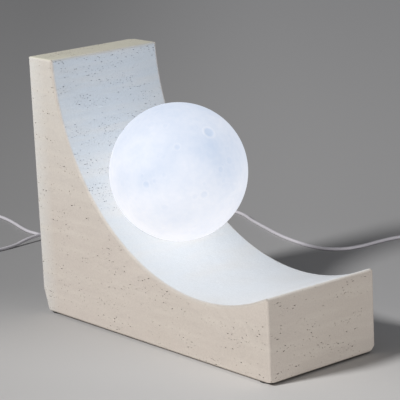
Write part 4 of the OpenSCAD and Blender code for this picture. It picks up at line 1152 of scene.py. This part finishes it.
@dataclass
class LightEngine:
    """The seat and everything inside the base: CAD nodes, each with its real finish."""

    def dress(self) -> None:
        """Gives each node its finish."""
        finishes = {
            Stuff.BRASS: ("threaded_inserts",),
            Stuff.ZINC: ("seat_screws", "sink_screws", "board_screws", "driver_screws",
                         "terminal_screws", "clamp_screws", "cover_screws"),
            Stuff.PALE_ABS: ("seat_cup", "cord_clamp", "globe_neck"),
            Stuff.DARK_ABS: ("base_cover",),
            Stuff.DARK_RUBBER: ("seat_gasket", "wire_grommet", "foot_pads"),
            Stuff.SPRING: ("neck_clips",),
            Stuff.ALUMINIUM: ("heat_sink", "light_board"),
            Stuff.CHIP: ("light_chips",),
            Stuff.DOME: ("light_dome",),
            Stuff.WIRE: ("light_leads", "cord_cores"),
            Stuff.BOARD: ("driver_board",),
            Stuff.EPOXY: ("driver_parts",),
            Stuff.GREEN_NYLON: ("terminal_blocks",),
            Stuff.PVC: ("cord_inner_end",),
        }
        dress_nodes({name: stuff for stuff, names in finishes.items() for name in names})


@dataclass
class Lead:
    """The thin low-voltage lead: lamp to switch, switch to coil, and on to its plug.

    Attributes:
        thickness: The jacket's diameter, in millimetres.
        turns: How many turns the coil has.
        coil_middle: The coil's centre.
        coil_inner: The radius of its inmost turn.
        coil_step: The distance between two turns.
        per_turn: How many points a turn has.
        lamp_route: The middle of the lead from the bush to the switch.
        plug_route: Its middle from the switch to the coil.
        tail_route: Its middle from the coil to the plug.
    """

    thickness: float = 3.4
    turns: float = 3.25
    coil_middle: Place = (-26.0, 344.0, 2.6)
    coil_inner: float = 14.5
    coil_step: float = 3.9
    per_turn: int = 16
    lamp_route: tuple[Place, ...] = (
        (-175.3, 0, 16.5), (-183, 0, 16), (-197, 1, 13), (-213, 4, 8.5), (-230, 10, 4), (-248, 20, 1.7),
        (-270, 35, 1.7), (-292, 51, 1.7), (-311, 65, 1.7), (-328, 77, 1.7), (-344, 87, 1.7),
        (-359, 92, 1.7), (-375, 94, 1.7), (-392, 94, 1.7), (-409, 97, 1.7), (-429, 102.5, 1.7),
        (-450, 107.5, 1.7), (-471, 110, 1.7), (-491, 107, 1.7), (-506, 97, 2), (-512.5, 85, 4),
        (-514, 75, 5.9), (-514, 68, 6),
    )
    plug_route: tuple[Place, ...] = (
        (-514, 4, 6), (-514, -3, 5.9), (-512.5, -13, 4), (-506, -27, 2), (-491, -40, 1.7),
        (-467, -48, 1.7), (-439, -49, 1.7), (-411, -42, 1.7), (-386, -26, 1.7), (-368, -4, 1.7),
        (-359, 18, 1.7), (-357, 38, 1.7), (-358, 52, 2.2), (-359.5, 65, 4.3), (-360.5, 79, 5.6),
        (-361, 93, 5.8), (-363, 107, 4.8), (-367, 122, 2.9), (-373, 142, 1.7), (-381, 168, 1.7),
        (-384, 195, 1.7), (-377, 223, 1.7), (-360, 251, 1.7), (-336, 275, 1.7), (-309, 289, 1.7),
        (-278, 289, 1.7), (-246, 277, 1.7), (-213, 266, 1.7), (-181, 256, 1.7), (-152, 250, 1.7),
        (-126, 248, 1.7), (-106, 252, 1.7), (-93, 264, 1.7), (-88, 282, 1.7), (-87, 304, 1.7),
        (-84, 326, 1.7), (-74, 346, 1.7), (-57, 360, 2), (-36.8, 364.84, 2.6), (-29.4, 364.84, 2.6),
    )
    tail_route: tuple[Place, ...] = (
        (-5.16, 340.6, 6.5), (-5.16, 334, 6), (-3.5, 324.5, 3.9), (0.5, 314, 2), (8, 305, 2),
        (19, 300, 3), (28, 299, 3.9), (34, 299, 4),
    )

    def coil(self) -> list[Place]:
        """Works out the coil's points: in to the middle on the floor, then out again on top.

        Returns:
            The points, in millimetres.
        """
        half = self.turns / 2
        points = []
        for i in range(round(self.turns * self.per_turn) + 1):
            t = i / self.per_turn
            radius = self.coil_inner + self.coil_step * abs(t - half)
            angle = math.radians(90 - 360 * t)
            # over the middle half turn the lead climbs from the lower layer to the upper one
            rise = self.coil_step * min(max(2 * (t - half) + 0.5, 0.0), 1.0)
            points.append((self.coil_middle[0] + radius * math.cos(angle),
                           self.coil_middle[1] + radius * math.sin(angle), self.coil_middle[2] + rise))
        return points

    def strand(self, name: str, route: Sequence[Place]) -> Object:
        """Draws one stretch of lead as a smooth round tube.

        Args:
            name: Its name.
            route: The points that it follows, in millimetres.

        Returns:
            A curve of one open spline.
        """
        curve = bpy.data.curves.new(name, "CURVE")
        curve.dimensions = "3D"
        curve.resolution_u = 6
        curve.bevel_depth = self.thickness / 2 * MM
        curve.bevel_resolution = 5
        curve.use_fill_caps = True
        spline = curve.splines.new("BEZIER")
        spline.bezier_points.add(len(route) - 1)
        points = [Vector(p) * MM for p in route]
        for i, knot in enumerate(spline.bezier_points):
            before, after = points[max(i - 1, 0)], points[min(i + 1, len(points) - 1)]
            aim = (after - before).normalized()
            knot.handle_left_type = knot.handle_right_type = "FREE"
            knot.co = points[i]
            knot.handle_left = points[i] - aim * ((points[i] - before).length / 3)
            knot.handle_right = points[i] + aim * ((after - points[i]).length / 3)
            for handle in (knot.handle_left, knot.handle_right):
                handle.z = max(handle.z, self.thickness / 2 * MM)
        piece = new_object(name, curve)
        Stuff.PVC.dress(piece)
        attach(piece, "base")
        LOG.info("%-18s %d points", name, len(route))
        return piece

    def build(self) -> None:
        """Builds both stretches, and dresses the switch, the tie and the plug."""
        first_fittings = {
            "cord_bush": Stuff.WHITE_RUBBER, "switch_lower_case": Stuff.WHITE_ABS,
            "switch_upper_case": Stuff.WHITE_ABS, "switch_screws": Stuff.ZINC,
            "switch_contacts": Stuff.BRASS, "switch_cord_ends": Stuff.PVC,
            "switch_rocker": Stuff.WHITE_ABS,
        }
        second_fittings = {
            "coil_tie": Stuff.DARK_NYLON, "plug_grip": Stuff.WHITE_RUBBER, "plug_shell": Stuff.NICKEL,
            "plug_tongue": Stuff.DARK_NYLON, "plug_contacts": Stuff.BRASS,
        }
        dress_nodes(first_fittings | second_fittings)
        first = self.strand("lamp_lead", self.lamp_route)
        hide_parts("lamp_cord")
        second = self.strand("plug_lead", [*self.plug_route, *self.coil(), *self.tail_route])
        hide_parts("plug_cord", "cord_coil", "plug_tail")


# Camera, floor and light


@dataclass
class Viewpoint:
    """The photograph's viewpoint.

    Attributes:
        place: The camera's place, in metres.
        azimuth: The direction it stands in, in degrees from the front.
        elevation: Its height above the horizon.
        roll: Its roll about its line of sight.
        lens: Its focal length, in millimetres.
    """

    place: Place = (1.2816, -1.0531, 0.5281)
    azimuth: float = 50.49
    elevation: float = 13.91
    roll: float = -2.62
    lens: float = 179.27

    def build(self) -> None:
        """Creates the scene's camera."""
        turn, rise, roll = (math.radians(a) for a in (self.azimuth, self.elevation, self.roll))
        flat = math.cos(rise)
        back = Vector((math.sin(turn) * flat, -math.cos(turn) * flat, math.sin(rise)))
        right = Vector((0.0, 0.0, 1.0)).cross(back).normalized()
        up = back.cross(right)
        level, tilt = math.cos(roll), math.sin(roll)
        right, up = level * right + tilt * up, level * up - tilt * right
        data = bpy.data.cameras.new("photo_camera")
        data.lens = self.lens
        data.sensor_width = 36.0
        data.clip_start, data.clip_end = 0.01, 100.0
        camera = new_object("photo_camera", data)
        facing = Matrix((right, up, back)).transposed().to_4x4()
        camera.matrix_world = Matrix.Translation(self.place) @ facing
        bpy.context.scene.camera = camera


class Link(Enum):
    """What a thing may be to a lamp."""

    LIT = "receiver_collection"
    SHADING = "blocker_collection"


@dataclass
class Studio:
    """A plain pale floor with painted shade that fades it to grey behind the lamp, under soft light.

    Attributes:
        floor_reach: Half the floor's width, in metres.
        near: The floor's colour in front of the lamp.
        far: The floor's colour behind it, darkened as painted shade.
        horizon: The floor's colour far behind it, painted paler to make up for the lamps' light falling
            off there.
        painted_shade_way: The way across the floor in which it fades.
        painted_light_way: The way across the floor in which it grows lighter.
        sky: The strength of the even light from all round.
        key: The strength of the soft light from the front left.
        fill: The strength of the soft light from the right.
        aim: Where the soft lights point, in metres.
        distance: How far off they stand.
    """

    floor_reach: float = 14.0
    near: str = "#E4E2E0"
    far: str = "#BAB9B9"
    horizon: str = "#E4E3E3"
    painted_shade_way: Place = (-0.546, 0.904, 0.0)
    painted_light_way: Place = (0.645, 0.764, 0.0)
    sky: float = 0.18
    key: float = 0.87
    fill: float = 0.385
    aim: Place = (-0.02, 0.0, 0.1)
    distance: float = 2.6

    def floor(self) -> Object:
        """Builds the floor.

        Returns:
            The floor.
        """
        reach = self.floor_reach
        mesh = bpy.data.meshes.new("floor")
        corners = [(-reach, -reach, 0), (reach, -reach, 0), (reach, reach, 0), (-reach, reach, 0)]
        mesh.from_pydata(corners, [], [(0, 1, 2, 3)])
        material = new_material("Paper sweep, matt")
        tree = material.node_tree
        spot = add_node(tree, "ShaderNodeTexCoord").outputs["Object"]
        # the floor's colour carries painted light: painted shade greys it behind the lamp, it is painted
        # paler again far behind where the lamps' light falls off, and painted light makes it lighter
        # towards the right
        behind, beside = (add_node(tree, VECTORS, {0: spot, 1: way}, operation="DOT_PRODUCT")
                          for way in (self.painted_shade_way, self.painted_light_way))
        # how far along the floor each change runs, in metres, and its weight at both ends
        painted_shade_behind, away, side = (
            add_node(tree, RANGE, {"Value": value, "From Min": low, "From Max": high,
                                   "To Min": at_low, "To Max": at_high}, interpolation_type=curve)
            for value, low, high, at_low, at_high, curve in (
                (behind, -0.15, 0.13, 0.0, 1.0, "SMOOTHSTEP"), (behind, 0.4, 2.2, 0.0, 1.0, "LINEAR"),
                (beside, -0.32, 0.15, 0.66, 0.97, "SMOOTHSTEP")))
        colour = add_node(tree, MIX, {0: painted_shade_behind, 6: linear(self.near), 7: linear(self.far)}, **COLOURS)
        paper = add_node(tree, MIX, {0: away, 6: colour, 7: linear(self.horizon)}, **COLOURS)
        lit = add_node(tree, VECTORS, {0: paper, "Scale": side}, operation="SCALE")
        shader = add_node(tree, "ShaderNodeBsdfPrincipled", {
            "Base Color": lit, "Roughness": 0.85, "Specular IOR Level": 0.2})
        add_node(tree, "ShaderNodeOutputMaterial", {"Surface": shader})
        mesh.materials.append(material)
        floor = new_object("floor", mesh)
        return floor

    def soft_light(self, name: str, way: Place, size: float, strength: float) -> Object:
        """Adds a large soft lamp that looks at the object.

        Args:
            name: Its name.
            way: The direction it stands in, seen from the object.
            size: Its width in metres.
            strength: The share of full light that it gives a white sheet facing it.

        Returns:
            The lamp.
        """
        away = Vector(way).normalized()
        data = bpy.data.lights.new(name, "AREA")
        data.shape = "DISK"
        data.size = size
        data.energy = strength * math.pi * math.pi * self.distance**2
        lamp = new_object(name, data)
        lamp.location = Vector(self.aim) + away * self.distance
        lamp.rotation_mode = "QUATERNION"
        lamp.rotation_quaternion = away.to_track_quat("Z", "Y")
        lamp.visible_camera = False
        return lamp

    def leave_out(self, lamp: Object, thing: Object, link: Link) -> None:
        """Takes one thing out of those that a lamp lights, or out of those that shade it.

        Args:
            lamp: The lamp.
            thing: What is left out.
            link: What it is left out of.
        """
        others = bpy.data.collections.new(f"{lamp.name}_{link.name.lower()}")
        others.objects.link(thing)
        others.collection_objects[0].light_linking.link_state = "EXCLUDE"
        setattr(lamp.light_linking, link.value, others)

    def build(self, glowing: Object) -> None:
        """Builds the floor, the lamps and the even light.

        Args:
            glowing: The lit globe.
        """
        world = bpy.data.worlds.new("studio")
        world.use_nodes = True
        world.node_tree.nodes.clear()
        even = add_node(world.node_tree, "ShaderNodeBackground", {
            "Color": linear("#F4F6FA"), "Strength": self.sky})
        add_node(world.node_tree, "ShaderNodeOutputWorld", {"Surface": even})
        bpy.context.scene.world = world
        bpy.context.scene.view_settings.view_transform = "Standard"
        floor = self.floor()
        key = self.soft_light("key_light", way=(-0.15, -0.785, 0.60), size=0.50, strength=self.key)
        fill = self.soft_light("fill_light", way=(0.97, -0.15, 0.18), size=1.2, strength=self.fill)
        # the globe's own light fills the shadow that it would throw
        for lamp in (key, fill):
            self.leave_out(lamp, glowing, Link.SHADING)
        # the low lamp would burn a bright patch into the floor under it
        self.leave_out(fill, floor, Link.LIT)


def main() -> None:
    """Builds the camera, the lead, the lamp and the studio in order, and reports each piece."""
    logging.basicConfig(level=logging.INFO, format="%(message)s")
    Viewpoint().build()
    Lead().build()
    stone = Stone().build()
    LightEngine().dress()
    globe = Globe()
    shell = globe.build()
    Studio().build(shell)
    globe.lamp(shell, stone)


if __name__ == "__main__":
    main()
